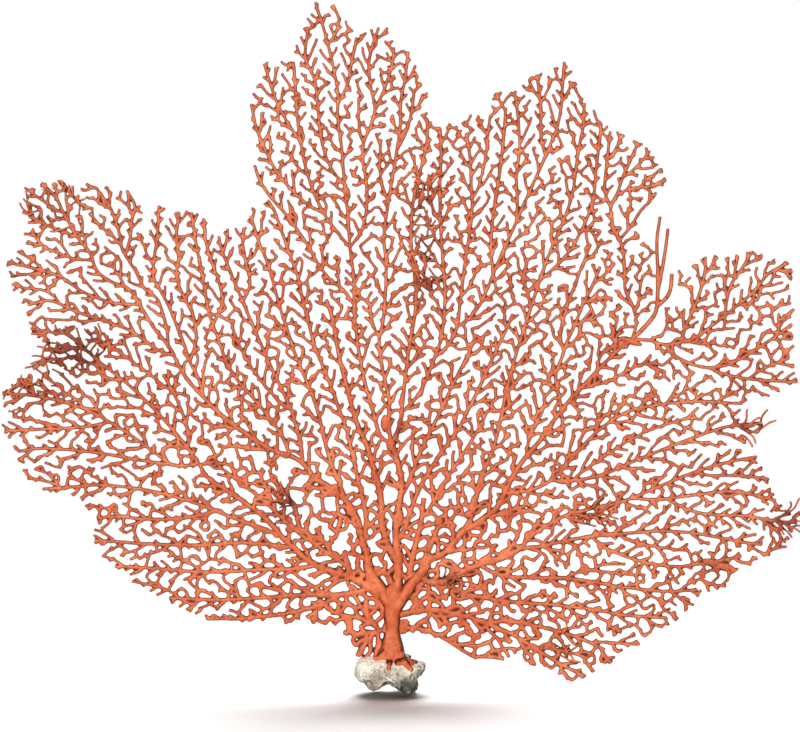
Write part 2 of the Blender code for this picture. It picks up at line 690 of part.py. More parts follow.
def make_stone(parts, cutters):
    """Loose stone: a lumpy block with a flat foot and a low arch under its front."""
    shape = bmesh.new()
    bmesh.ops.create_icosphere(shape, subdivisions=3, radius=0.5)
    x, z = front(STONE_CENTRE_PX)
    middle = Vector((x, STONE_DEPTH_CENTRE, z))
    for corner in shape.verts:
        unit = corner.co * 2.0
        boxy = Vector([math.copysign(abs(axis) ** 0.62, axis) for axis in unit])
        place = Vector([0.5 * size * axis for size, axis in zip(STONE_SIZE, boxy)])
        lump = noise.noise(place * STONE_LUMP_SCALE) + 0.5 * noise.noise(place * 240.0)
        corner.co = middle + place + unit * STONE_LUMP * lump
    bmesh.ops.bisect_plane(shape, geom=shape.verts[:] + shape.edges[:] + shape.faces[:],
                           plane_co=(0, 0, 0), plane_no=(0, 0, -1), clear_outer=True)
    rim = [side for side in shape.edges if side.is_boundary]
    bmesh.ops.contextual_create(shape, geom=rim)
    bmesh.ops.triangulate(shape, faces=shape.faces)
    bmesh.ops.recalc_face_normals(shape, faces=shape.faces)
    mesh = bpy.data.meshes.new("stone")
    shape.to_mesh(mesh)
    shape.free()
    stone = bpy.data.objects.new("stone", mesh)
    parts.objects.link(stone)
    stone.data.materials.append(surface("stone", STONE_COLOUR, 0.85))

    arch_x, arch_z = front(ARCH_PX)
    bpy.ops.mesh.primitive_cylinder_add(
        vertices=10, radius=ARCH_RADIUS, depth=ARCH_DEPTH * 2,
        location=(arch_x, STONE_DEPTH_CENTRE - 0.5 * STONE_SIZE[1], arch_z - 0.001),
        rotation=(math.pi / 2, 0, 0))
    arch = bpy.context.object
    arch.name = "arch_cutter"
    for home in arch.users_collection:
        home.objects.unlink(arch)
    cutters.objects.link(arch)
    as_cutter(arch)
    cut = stone.modifiers.new("Arch", "BOOLEAN")
    cut.operation = "DIFFERENCE"
    cut.object = arch
    return stone


def make_holdfast(stone, cutters):
    """Spreading foot of the trunk, and the stone's shape that it is moulded to."""
    x, z = front(HOLDFAST_PX)
    bpy.ops.mesh.primitive_uv_sphere_add(segments=18, ring_count=9, radius=0.5,
                                         location=(x, sheet_depth(x, z), z))
    foot = bpy.context.object
    foot.name = "holdfast"
    foot.data.transform(foot.matrix_world)
    foot.matrix_world.identity()
    centre = Vector((x, sheet_depth(x, z), z))
    for corner in foot.data.vertices:
        away = corner.co - centre
        corner.co = centre + Vector([size * axis for size, axis in zip(HOLDFAST_SIZE, away)])
    for home in foot.users_collection:
        home.objects.unlink(foot)
    bpy.data.collections["trunk_pieces"].objects.link(foot)
    as_cutter(foot)

    bed = stone.copy()
    bed.name = "stone_bed"
    cutters.objects.link(bed)
    as_cutter(bed)
    grow = bed.modifiers.new("Gap", "DISPLACE")
    grow.strength = FORK_GAP * 1.6
    grow.mid_level = 0.0
    return bed


def seat_on(trunk, bed):
    """Cut the trunk's foot to the stone with a gap."""
    seat = trunk.modifiers.new("Seat", "BOOLEAN")
    seat.operation = "DIFFERENCE"
    seat.object = bed


def main():
    """Build the whole sea fan."""
    for old in list(bpy.data.objects):
        bpy.data.objects.remove(old)
    parts = collection("sea_fan")
    cutters = collection("sea_fan_cutters")
    coral = surface("coral", CORAL_COLOUR, 0.7)
    ribs = lay_ribs()
    cut_forks(ribs)
    twigs = grow_twigs(ribs)
    solids = {limb: make_limb(limb, ribs, twigs, parts, cutters, coral) for limb in RIBS}
    stone = make_stone(parts, cutters)
    bed = make_holdfast(stone, cutters)
    for limb, piece in solids.items():
        unite(piece, bpy.data.collections[limb + "_pieces"])
    seat_on(solids["trunk"], bed)


main()
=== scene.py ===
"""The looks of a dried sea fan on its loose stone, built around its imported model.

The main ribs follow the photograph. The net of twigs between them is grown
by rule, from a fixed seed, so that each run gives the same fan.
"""

import json
import logging
import math
import random
from dataclasses import dataclass, field
from enum import Enum

import bpy
import numpy as np
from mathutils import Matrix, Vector, noise
from mathutils.bvhtree import BVHTree
from mathutils.kdtree import KDTree

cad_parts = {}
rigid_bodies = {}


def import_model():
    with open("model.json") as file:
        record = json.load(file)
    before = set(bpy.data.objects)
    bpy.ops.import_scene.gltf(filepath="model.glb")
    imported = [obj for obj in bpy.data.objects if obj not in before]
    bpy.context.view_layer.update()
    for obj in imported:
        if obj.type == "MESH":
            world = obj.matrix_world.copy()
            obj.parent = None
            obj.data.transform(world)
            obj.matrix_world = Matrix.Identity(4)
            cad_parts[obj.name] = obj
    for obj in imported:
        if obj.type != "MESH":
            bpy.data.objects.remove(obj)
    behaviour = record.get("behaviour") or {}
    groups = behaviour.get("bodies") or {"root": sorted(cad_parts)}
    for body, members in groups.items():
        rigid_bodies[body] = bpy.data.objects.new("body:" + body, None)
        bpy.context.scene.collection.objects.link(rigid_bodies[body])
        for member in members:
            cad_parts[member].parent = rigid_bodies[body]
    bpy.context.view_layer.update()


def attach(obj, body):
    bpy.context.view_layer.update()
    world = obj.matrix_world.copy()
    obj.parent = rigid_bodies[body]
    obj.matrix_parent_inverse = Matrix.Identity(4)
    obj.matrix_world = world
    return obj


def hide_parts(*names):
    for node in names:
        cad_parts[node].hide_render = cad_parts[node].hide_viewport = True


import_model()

LOG = logging.getLogger("sea_fan")
MM = 0.001

Point = tuple[float, float]
Place = tuple[float, float, float]
Colour = tuple[float, float, float, float]
Piece = bpy.types.Object
Socket = bpy.types.NodeSocket
Value = Socket | float | Place | Colour

KNOT_STEPS = 24
FAR = 1.0
TANGLE_SEED = 8

# Ribs as they lie in the front view, in its pixels, from fork to tip
RIBS = {
    "trunk": {
        "trunk": [(392, 664), (392, 640), (392, 620), (393, 606)],
        "trunk_left_root": [(388, 632), (376, 634), (366, 644), (360, 658)],
        "trunk_left_twig": [(376, 634), (362, 636), (352, 641)],
    },
    "centre_limb": {
        "centre_limb": [(393, 606), (397, 590), (398, 570), (397, 550), (396, 525), (400, 502),
            (402, 487), (399, 470), (396, 457), (391, 446)],
    },
    "left_limb": {
        "left_limb": [(393, 606), (381, 598), (371, 583), (367, 560), (361, 538), (356, 519),
            (346, 503), (330, 489), (314, 480)],
    },
    "right_limb": {
        "right_limb": [(393, 606), (402, 599), (411, 589), (420, 578), (424, 568), (431, 561),
            (440, 558), (449, 551), (463, 534)],
    },
    "left_long_limb": {
        "left_long": [(314, 480), (303, 465), (290, 457), (272, 451), (247, 435), (223, 417),
            (204, 398), (190, 383), (179, 366), (170, 348), (156, 330), (147, 316), (140, 304), (130, 289),
            (112, 281), (98, 270), (91, 252), (79, 236), (66, 213), (58, 197), (44, 182)],
        "left_long_low": [(140, 304), (118, 303), (100, 298), (82, 290), (62, 276), (38, 268), (9, 261)],
        "left_long_mid": [(94, 260), (75, 258), (55, 250), (45, 245), (33, 230)],
        "left_long_high": [(79, 236), (62, 230), (44, 222), (31, 215)],
        "left_long_root": [(173, 356), (158, 350), (146, 341), (130, 330), (110, 322), (80, 312),
            (52, 300), (29, 304)],
        "left_peak": [(168, 346), (167, 330), (163, 313), (157, 298), (145, 288), (137, 272),
            (124, 250), (121, 235), (113, 210), (98, 187)],
        "left_peak_tip": [(126, 254), (131, 238), (133, 220), (136, 205), (128, 190)],
    },
    "left_upper_limb": {
        "left_upper": [(204, 398), (198, 378), (190, 362), (184, 344), (177, 326), (170, 308),
            (162, 292), (154, 276), (155, 256), (158, 238), (160, 205)],
        "left_upper_tip": [(190, 362), (196, 340), (194, 318), (188, 304), (181, 290), (177, 275),
            (179, 256), (177, 236), (180, 212)],
    },
    "left_arm": {
        "left_arm": [(290, 457), (280, 434), (264, 412), (249, 394), (237, 380), (226, 362), (220, 344),
            (213, 325), (208, 308), (205, 290), (201, 268), (196, 240), (192, 212)],
        "left_arm_tip": [(213, 325), (222, 305), (220, 285), (212, 262), (206, 240), (204, 218)],
    },
    "left_high_arm": {
        "left_high_arm": [(303, 465), (299, 440), (292, 414), (281, 389), (270, 366), (261, 345),
            (251, 322), (243, 302), (236, 286), (229, 268), (222, 250), (219, 236)],
        "left_high_arm_tip": [(243, 302), (250, 284), (246, 262), (243, 245), (244, 228)],
    },
    "inner_left_limb": {
        "inner_left": [(346, 503), (338, 482), (330, 462), (324, 440), (319, 418), (312, 396),
            (303, 374), (294, 352), (287, 330), (280, 308), (274, 286), (268, 264), (259, 242), (251, 216)],
    },
    "inner_limb": {
        "inner": [(363, 545), (366, 522), (362, 498), (357, 478), (352, 455), (346, 430), (338, 408),
            (331, 388), (323, 368), (315, 348), (309, 326), (303, 303), (298, 278), (290, 255), (282, 232),
            (275, 212), (268, 200)],
    },
    "peak_root_limb": {
        "peak_root": [(397, 566), (388, 548), (382, 525), (381, 505), (378, 485), (372, 465),
            (366, 445), (357, 425), (351, 405), (346, 385), (340, 362), (336, 340), (332, 318), (326, 300)],
    },
    "peak_limb": {
        "peak": [(391, 446), (381, 438), (376, 425), (371, 405), (366, 388), (361, 365), (357, 340),
            (354, 310), (354, 280), (350, 248), (348, 215), (345, 190), (342, 150), (338, 118), (338, 92),
            (332, 60), (325, 32), (316, 3)],
        "peak_side": [(344, 185), (332, 170), (324, 150), (320, 128), (318, 104), (315, 80), (306, 58),
            (309, 28)],
        "peak_front": [(338, 104), (348, 84), (352, 62), (357, 38)],
        "peak_tip": [(328, 45), (336, 34), (340, 20)],
    },
    "peak_left_limb": {
        "peak_left": [(350, 248), (340, 236), (324, 214), (313, 190), (306, 168), (302, 148),
            (298, 120), (296, 90), (294, 62)],
        "peak_left_low": [(324, 214), (306, 203), (290, 188), (276, 170), (266, 150), (257, 128),
            (252, 104)],
        "peak_left_tip": [(301, 142), (290, 126), (280, 108), (273, 90), (265, 64)],
    },
    "shoulder_limb": {
        "shoulder": [(354, 305), (343, 290), (330, 280), (318, 264), (308, 246), (296, 228), (284, 212),
            (270, 196), (260, 180), (255, 165)],
    },
    "peak_right_limb": {
        "peak_right": [(350, 248), (362, 230), (367, 205), (366, 180), (363, 160), (364, 142),
            (371, 126), (375, 108), (371, 88), (369, 66), (372, 49), (379, 28)],
        "peak_right_tip": [(374, 112), (384, 90), (392, 66), (394, 48)],
    },
    "heart_limb": {
        "heart": [(391, 446), (389, 424), (389, 400), (385, 382), (381, 362), (379, 342), (383, 322),
            (385, 300), (386, 280), (386, 262), (384, 236), (388, 205), (393, 175), (397, 150), (400, 128),
            (401, 100), (405, 80), (408, 52)],
        "heart_tip": [(397, 150), (406, 132), (412, 110), (414, 90)],
    },
    "heart_right_limb": {
        "heart_right": [(391, 446), (399, 428), (402, 410), (404, 390), (407, 365), (410, 342),
            (414, 322), (416, 300), (415, 278), (412, 256), (411, 230), (413, 203), (417, 183), (423, 160),
            (427, 140), (427, 118)],
    },
    "high_middle_limb": {
        "high_middle": [(402, 414), (412, 404), (421, 392), (428, 376), (435, 358), (441, 340),
            (444, 318), (445, 290), (443, 262), (441, 235), (440, 205), (440, 178), (441, 150), (440, 128)],
        "high_middle_right": [(435, 358), (449, 345), (457, 328), (460, 305), (463, 280), (466, 255),
            (470, 230), (472, 205), (471, 185), (470, 160), (466, 133)],
    },
    "high_right_limb": {
        "high_right": [(457, 328), (470, 318), (480, 305), (487, 290), (493, 275), (500, 258),
            (508, 240), (516, 222), (524, 203), (532, 185), (541, 165), (549, 146), (556, 128), (560, 108),
            (561, 90), (563, 62)],
        "high_right_left": [(493, 275), (491, 250), (492, 225), (495, 200), (499, 175), (502, 150),
            (504, 128), (505, 108)],
        "high_right_tip": [(545, 155), (540, 135), (540, 108), (536, 75)],
        "high_right_mid": [(516, 222), (517, 200), (516, 175), (519, 150), (518, 125), (515, 96)],
    },
    "flame_limb": {
        "flame": [(400, 500), (410, 482), (417, 462), (425, 444), (434, 426), (443, 408), (451, 390),
            (460, 372), (469, 354), (476, 336)],
    },
    "right_flame_limb": {
        "right_flame": [(397, 545), (405, 530), (411, 512), (418, 494), (427, 477), (438, 460),
            (449, 444), (460, 428), (469, 410), (478, 392), (487, 372), (496, 352), (505, 333), (513, 314)],
    },
    "right_upper_limb": {
        "right_upper": [(463, 534), (472, 518), (477, 500), (480, 482), (487, 466), (494, 449),
            (499, 430), (503, 410), (507, 392), (511, 374), (516, 356), (522, 336), (528, 317), (534, 298),
            (540, 280), (546, 262), (553, 244), (560, 228), (567, 210), (572, 192), (575, 170), (578, 148),
            (582, 126), (583, 103)],
        "right_upper_tip": [(540, 280), (556, 266), (570, 250), (580, 232), (588, 214), (593, 195),
            (595, 170), (598, 145), (600, 123)],
    },
    "right_long_limb": {
        "right_long": [(463, 534), (475, 527), (487, 518), (498, 509), (505, 495), (512, 481),
            (520, 467), (530, 454), (541, 441), (551, 426), (562, 411), (575, 395), (590, 379), (604, 364),
            (619, 349), (632, 339)],
        "right_long_side": [(562, 411), (559, 394), (556, 376), (562, 358), (568, 340), (576, 322),
            (583, 304), (592, 286), (600, 266)],
    },
    "right_top_limb": {
        "right_top": [(632, 339), (636, 322), (632, 305), (625, 290), (624, 272), (623, 255),
            (619, 240), (612, 225), (610, 208), (616, 195), (632, 188), (648, 186), (665, 180)],
        "right_top_side": [(619, 240), (630, 226), (640, 210), (650, 200)],
        "right_top_left": [(610, 208), (604, 190), (605, 170), (607, 150), (609, 131)],
        "right_top_tip": [(616, 195), (622, 176), (630, 158), (637, 142)],
    },
    "spikes": {
        "spike_root": [(632, 339), (645, 326), (655, 312), (657, 295), (657, 270), (656, 240), (659, 216)],
        "spike": [(657, 290), (662, 265), (665, 245), (667, 228)],
        "spike_twig": [(656, 306), (666, 297), (670, 287), (671, 273)],
    },
    "right_tip_limb": {
        "right_tip": [(632, 339), (648, 340), (664, 344), (680, 342), (696, 336), (710, 326),
            (724, 315), (737, 304), (748, 295), (757, 285), (768, 272), (787, 262)],
        "right_tip_top": [(680, 342), (686, 324), (694, 306), (700, 288), (704, 270), (704, 256)],
        "right_tip_high": [(724, 315), (726, 298), (731, 282), (741, 267), (750, 251)],
        "right_tip_low": [(664, 344), (676, 356), (692, 364), (708, 367), (724, 365), (740, 358),
            (756, 348), (772, 337), (791, 323)],
        "right_tip_foot": [(708, 367), (726, 374), (748, 378), (772, 380), (797, 381)],
        "right_tip_side": [(748, 378), (764, 367), (788, 357)],
    },
    "right_wing": {
        "right_wing": [(505, 495), (520, 494), (536, 490), (551, 482), (563, 471), (573, 458),
            (585, 445), (598, 432), (612, 421), (628, 412), (645, 407), (663, 404), (682, 402), (702, 401),
            (722, 402), (742, 403)],
        "right_wing_low": [(551, 482), (568, 482), (586, 480), (604, 475), (621, 468), (638, 460),
            (655, 453), (672, 446), (690, 439), (708, 432), (724, 427), (742, 424), (762, 422)],
    },
    "low_right_limb": {
        "low_right": [(420, 578), (430, 584), (442, 584), (454, 579), (466, 573), (480, 567),
            (495, 563), (509, 558), (522, 550)],
    },
    "low_wing": {
        "low_wing": [(522, 550), (530, 540), (542, 531), (555, 523), (569, 516), (584, 512), (600, 508),
            (616, 504), (632, 499), (648, 492), (664, 485), (680, 478), (698, 471), (716, 465), (736, 460),
            (757, 456)],
        "low_wing_mid": [(632, 499), (650, 500), (668, 499), (688, 496), (708, 493), (730, 491),
            (752, 494), (776, 500)],
        "low_wing_low": [(668, 499), (686, 509), (706, 514), (728, 515), (750, 516), (772, 520),
            (797, 522)],
    },
    "low_middle_limb": {
        "low_middle": [(522, 550), (538, 549), (556, 545), (574, 541), (592, 538), (612, 536),
            (632, 534), (654, 532), (676, 532), (698, 534), (722, 538), (744, 542), (762, 544)],
        "low_middle_low": [(592, 538), (606, 549), (622, 556), (640, 562), (660, 566), (682, 567),
            (702, 564), (722, 560), (742, 556)],
    },
    "low_side_limb": {
        "low_side": [(480, 567), (494, 575), (510, 579), (528, 580), (546, 580), (564, 580), (582, 582),
            (600, 585), (618, 588), (638, 590), (658, 592), (678, 592), (698, 590)],
    },
    "low_foot_limb": {
        "low_foot": [(442, 584), (454, 592), (468, 597), (484, 600), (500, 603), (518, 605), (536, 606),
            (554, 607), (572, 609), (590, 611), (608, 614), (628, 617), (648, 618), (668, 619)],
    },
    "foot_right_limb": {
        "foot_right": [(393, 618), (407, 616), (422, 613), (438, 613), (454, 616), (470, 620),
            (486, 626), (502, 632), (518, 640), (534, 650), (550, 660), (566, 669), (587, 679)],
        "foot_right_mid": [(486, 626), (504, 624), (524, 626), (544, 630), (564, 635), (584, 642),
            (606, 652)],
    },
    "foot_low_limb": {
        "foot_low": [(392, 630), (405, 630), (422, 632), (438, 638), (452, 646), (464, 654), (476, 661)],
    },
    "left_low_limb": {
        "left_low": [(381, 598), (370, 590), (358, 583), (344, 577), (330, 573), (316, 567), (304, 559),
            (293, 549), (282, 539), (272, 527), (261, 516), (249, 507), (237, 498), (222, 488), (208, 480)],
    },
    "left_wing": {
        "left_wing": [(208, 480), (198, 464), (188, 449), (176, 434), (164, 420), (152, 407),
            (140, 395), (127, 383), (112, 371), (96, 358), (79, 342), (59, 328)],
        "left_wing_mid": [(198, 464), (186, 466), (172, 465), (156, 454), (141, 443), (126, 432),
            (110, 422), (92, 412), (72, 404), (50, 398), (26, 394), (3, 393)],
        "left_wing_low": [(172, 465), (150, 462), (128, 458), (106, 454), (84, 451), (62, 449),
            (40, 448), (18, 451)],
        "left_wing_tip": [(110, 422), (88, 426), (64, 428), (36, 429), (5, 430)],
        "left_wing_top": [(188, 449), (187, 430), (181, 410), (173, 392), (163, 374)],
    },
    "left_fan": {
        "left_fan": [(282, 539), (266, 531), (250, 525), (233, 519), (216, 512), (198, 505), (180, 499),
            (162, 494), (143, 490), (122, 487), (98, 485), (70, 487), (42, 489)],
        "left_fan_mid": [(216, 512), (198, 516), (178, 519), (158, 520), (138, 519), (118, 517), (96, 518)],
    },
    "left_fan_low_limb": {
        "left_fan_low": [(293, 549), (276, 547), (258, 545), (240, 544), (220, 545), (200, 546),
            (180, 546), (158, 545), (136, 544), (115, 542), (94, 541)],
    },
    "left_skirt": {
        "left_skirt": [(316, 567), (300, 570), (282, 571), (264, 571), (244, 572), (224, 573),
            (204, 573), (184, 572), (162, 570), (138, 568), (114, 567)],
    },
    "left_hem": {
        "left_hem": [(370, 590), (356, 595), (340, 597), (322, 597), (304, 597), (286, 598), (268, 599),
            (250, 600), (230, 601), (210, 601), (190, 600), (168, 599)],
        "left_hem_low": [(340, 597), (322, 606), (302, 612), (282, 616), (262, 618), (242, 620),
            (222, 620), (205, 620)],
    },
}

# The fan's edge, clockwise from the lower left
EDGE_PX = [
    (376, 658), (352, 645), (330, 628), (300, 628), (268, 626), (205, 624), (163, 604),
    (127, 581), (111, 570), (91, 544), (92, 520), (80, 501), (41, 493), (24, 476),
    (14, 452), (1, 432), (1, 391), (28, 370), (38, 358), (33, 335), (25, 307), (13, 297),
    (13, 281), (6, 261), (20, 250), (28, 215), (27, 186), (42, 179), (68, 182), (98, 184),
    (128, 187), (144, 204), (147, 235), (156, 203), (186, 208), (203, 212), (219, 231),
    (245, 222), (250, 206), (266, 198), (253, 182), (255, 150), (249, 118), (250, 100),
    (257, 82), (263, 61), (291, 60), (291, 50), (307, 20), (316, 1), (330, 2), (346, 18),
    (358, 34), (378, 25), (392, 30), (396, 46), (410, 49), (418, 73), (430, 88),
    (429, 115), (440, 124), (455, 122), (471, 113), (486, 117), (490, 93), (515, 88),
    (534, 70), (548, 72), (563, 58), (575, 73), (585, 100), (602, 120), (613, 130),
    (640, 138), (656, 160), (668, 180), (653, 201), (640, 212), (638, 229), (646, 240),
    (652, 213), (661, 213), (671, 226), (674, 268), (690, 262), (704, 252), (725, 255),
    (750, 247), (759, 252), (790, 259), (792, 274), (792, 298), (794, 323), (792, 357),
    (799, 381), (777, 394), (744, 406), (742, 418), (766, 422), (744, 452), (762, 456),
    (770, 478), (780, 498), (799, 522), (786, 548), (762, 560), (744, 568), (724, 590),
    (704, 596), (680, 622), (654, 639), (626, 654), (612, 666), (589, 681), (569, 687),
    (548, 672), (528, 670), (507, 662), (476, 664), (447, 648), (420, 636), (402, 638),
]

MAIN_RIBS = ("trunk", "centre_limb", "left_limb", "right_limb", "right_long", "left_low",
             "low_right", "left_long", "peak_root")


class Kind(Enum):
    """What a branch of the net is."""

    RIB = "rib"
    LEADER = "leader"
    TWIG = "twig"


@dataclass(frozen=True)
class Outlook:
    """The photograph's frame, in pixels, and what a pixel stands for."""

    fan_width: float = 0.398  # metres
    fan_width_px: float = 796.0
    centre_px: float = 399.5
    floor_px: float = 697.0
    frame_px: Point = (800.0, 732.0)

    @property
    def pixel(self) -> float:
        """The size of a pixel on the fan, in metres."""
        return self.fan_width / self.fan_width_px

    def front(self, place: Point) -> Point:
        """The point of the fan's front behind a pixel.

        Args:
            place: Column and row of the photograph.

        Returns:
            X and Z in metres.
        """
        x = (place[0] - self.centre_px) * self.pixel
        z = (self.floor_px - place[1]) * self.pixel
        return x, z


@dataclass(frozen=True)
class Sheet:
    """The shallow bowl that the fan's net lies in."""

    cup_depth: float = 0.012
    cup_radius: float = 0.200
    cup_height: float = 0.120
    wave_depth: float = 0.002
    wave_turns: Point = (22.0, 9.0)
    relief: float = 0.7 * MM
    relief_scale: float = 130.0

    def depth(self, x: float, z: float) -> float:
        """How far back the sheet lies at a point of the front.

        Args:
            x: Distance to the right of the fan's middle.
            z: Height above the floor.

        Returns:
            Y in metres.
        """
        away = (x * x + (z - self.cup_height) ** 2) / self.cup_radius ** 2
        wave = self.wave_depth * math.sin(self.wave_turns[0] * x + self.wave_turns[1] * z)
        spot = Vector((x * self.relief_scale, z * self.relief_scale, 0.0))
        return self.cup_depth * (0.5 - away) + wave + self.relief * noise.noise(spot)


# Strands between the centre and right limbs
INNER_STRANDS = {
    "strand_low": [(404, 590), (410, 570), (416, 545), (421, 525), (424, 500)],
    "strand_side": [(417, 578), (425, 560), (434, 540), (441, 522)],
}
# Strands that cross beside the trunk's neck
STRANDS = {
    "hem_strand": [(379, 629), (373, 624), (363.5, 613), (355.7, 600), (351, 596)],
    "hem_cross": [(374, 626.5), (363.5, 622), (350, 618.5), (343, 621), (331, 623.5)],
    "hem_link": [(361, 609), (356, 610), (347, 607), (341, 613), (330, 615)],
    "hem_inner": [(380, 615), (370.7, 613), (366.5, 602)],
}
# Thin twigs that droop beside the trunk
DROOPING = {
    "droop_outer": [(366, 635), (365, 645), (360, 652), (357, 659)],
    "droop_middle": [(372, 634), (370, 645), (370, 654), (364, 661)],
    "droop_inner": [(378, 634), (378, 646), (376, 655), (375, 661)],
    "droop_tip": [(352, 641), (354, 646), (357, 648)],
}

# What the scene adds to the ribs of a limb
ADDED = {"trunk": DROOPING, "left_hem": STRANDS, "right_limb": INNER_STRANDS}


@dataclass(frozen=True)
class Habit:
    """How one kind of branch grows, in metres and radians."""

    fork_angle: Point
    lean: float
    spread: float
    bend: float
    turn: float
    wander: float
    air: float
    side_air: float
    fork_free: float
    probe: float
    probe_air: float
    reach: Point
    shortest: float


LEADER_HABIT = Habit(
    fork_angle=(0.60, 0.85),
    lean=0.08,
    spread=0.70,
    bend=7.0 * MM,
    turn=0.16,
    wander=0.07,
    air=7.3 * MM,
    side_air=5.1 * MM,
    fork_free=10.7 * MM,
    probe=8.6 * MM,
    probe_air=7.2 * MM,
    reach=(30 * MM, 160 * MM),
    shortest=6.0 * MM,
)
TWIG_HABIT = Habit(
    fork_angle=(0.75, 1.15),
    lean=0.28,
    spread=0.50,
    bend=5.5 * MM,
    turn=0.17,
    wander=0.115,
    air=2.55 * MM,
    side_air=2.15 * MM,
    fork_free=3.4 * MM,
    probe=3.1 * MM,
    probe_air=2.45 * MM,
    reach=(5 * MM, 20 * MM),
    shortest=1.6 * MM,
)


@dataclass
class Branch:
    """One rib or twig, as a path over the fan's front."""

    path: list[Point]
    kind: Kind = Kind.RIB
    name: str = ""
    limb: str = ""
    parent: int = -1
    fork: int = 0
    side: int = 1
    heading: float = 0.0
    reach: float = 0.0
    joins: bool = False
    joined: bool = False
    growing: bool = False
    next_bud: float = 0.0
    lift: float = 0.0


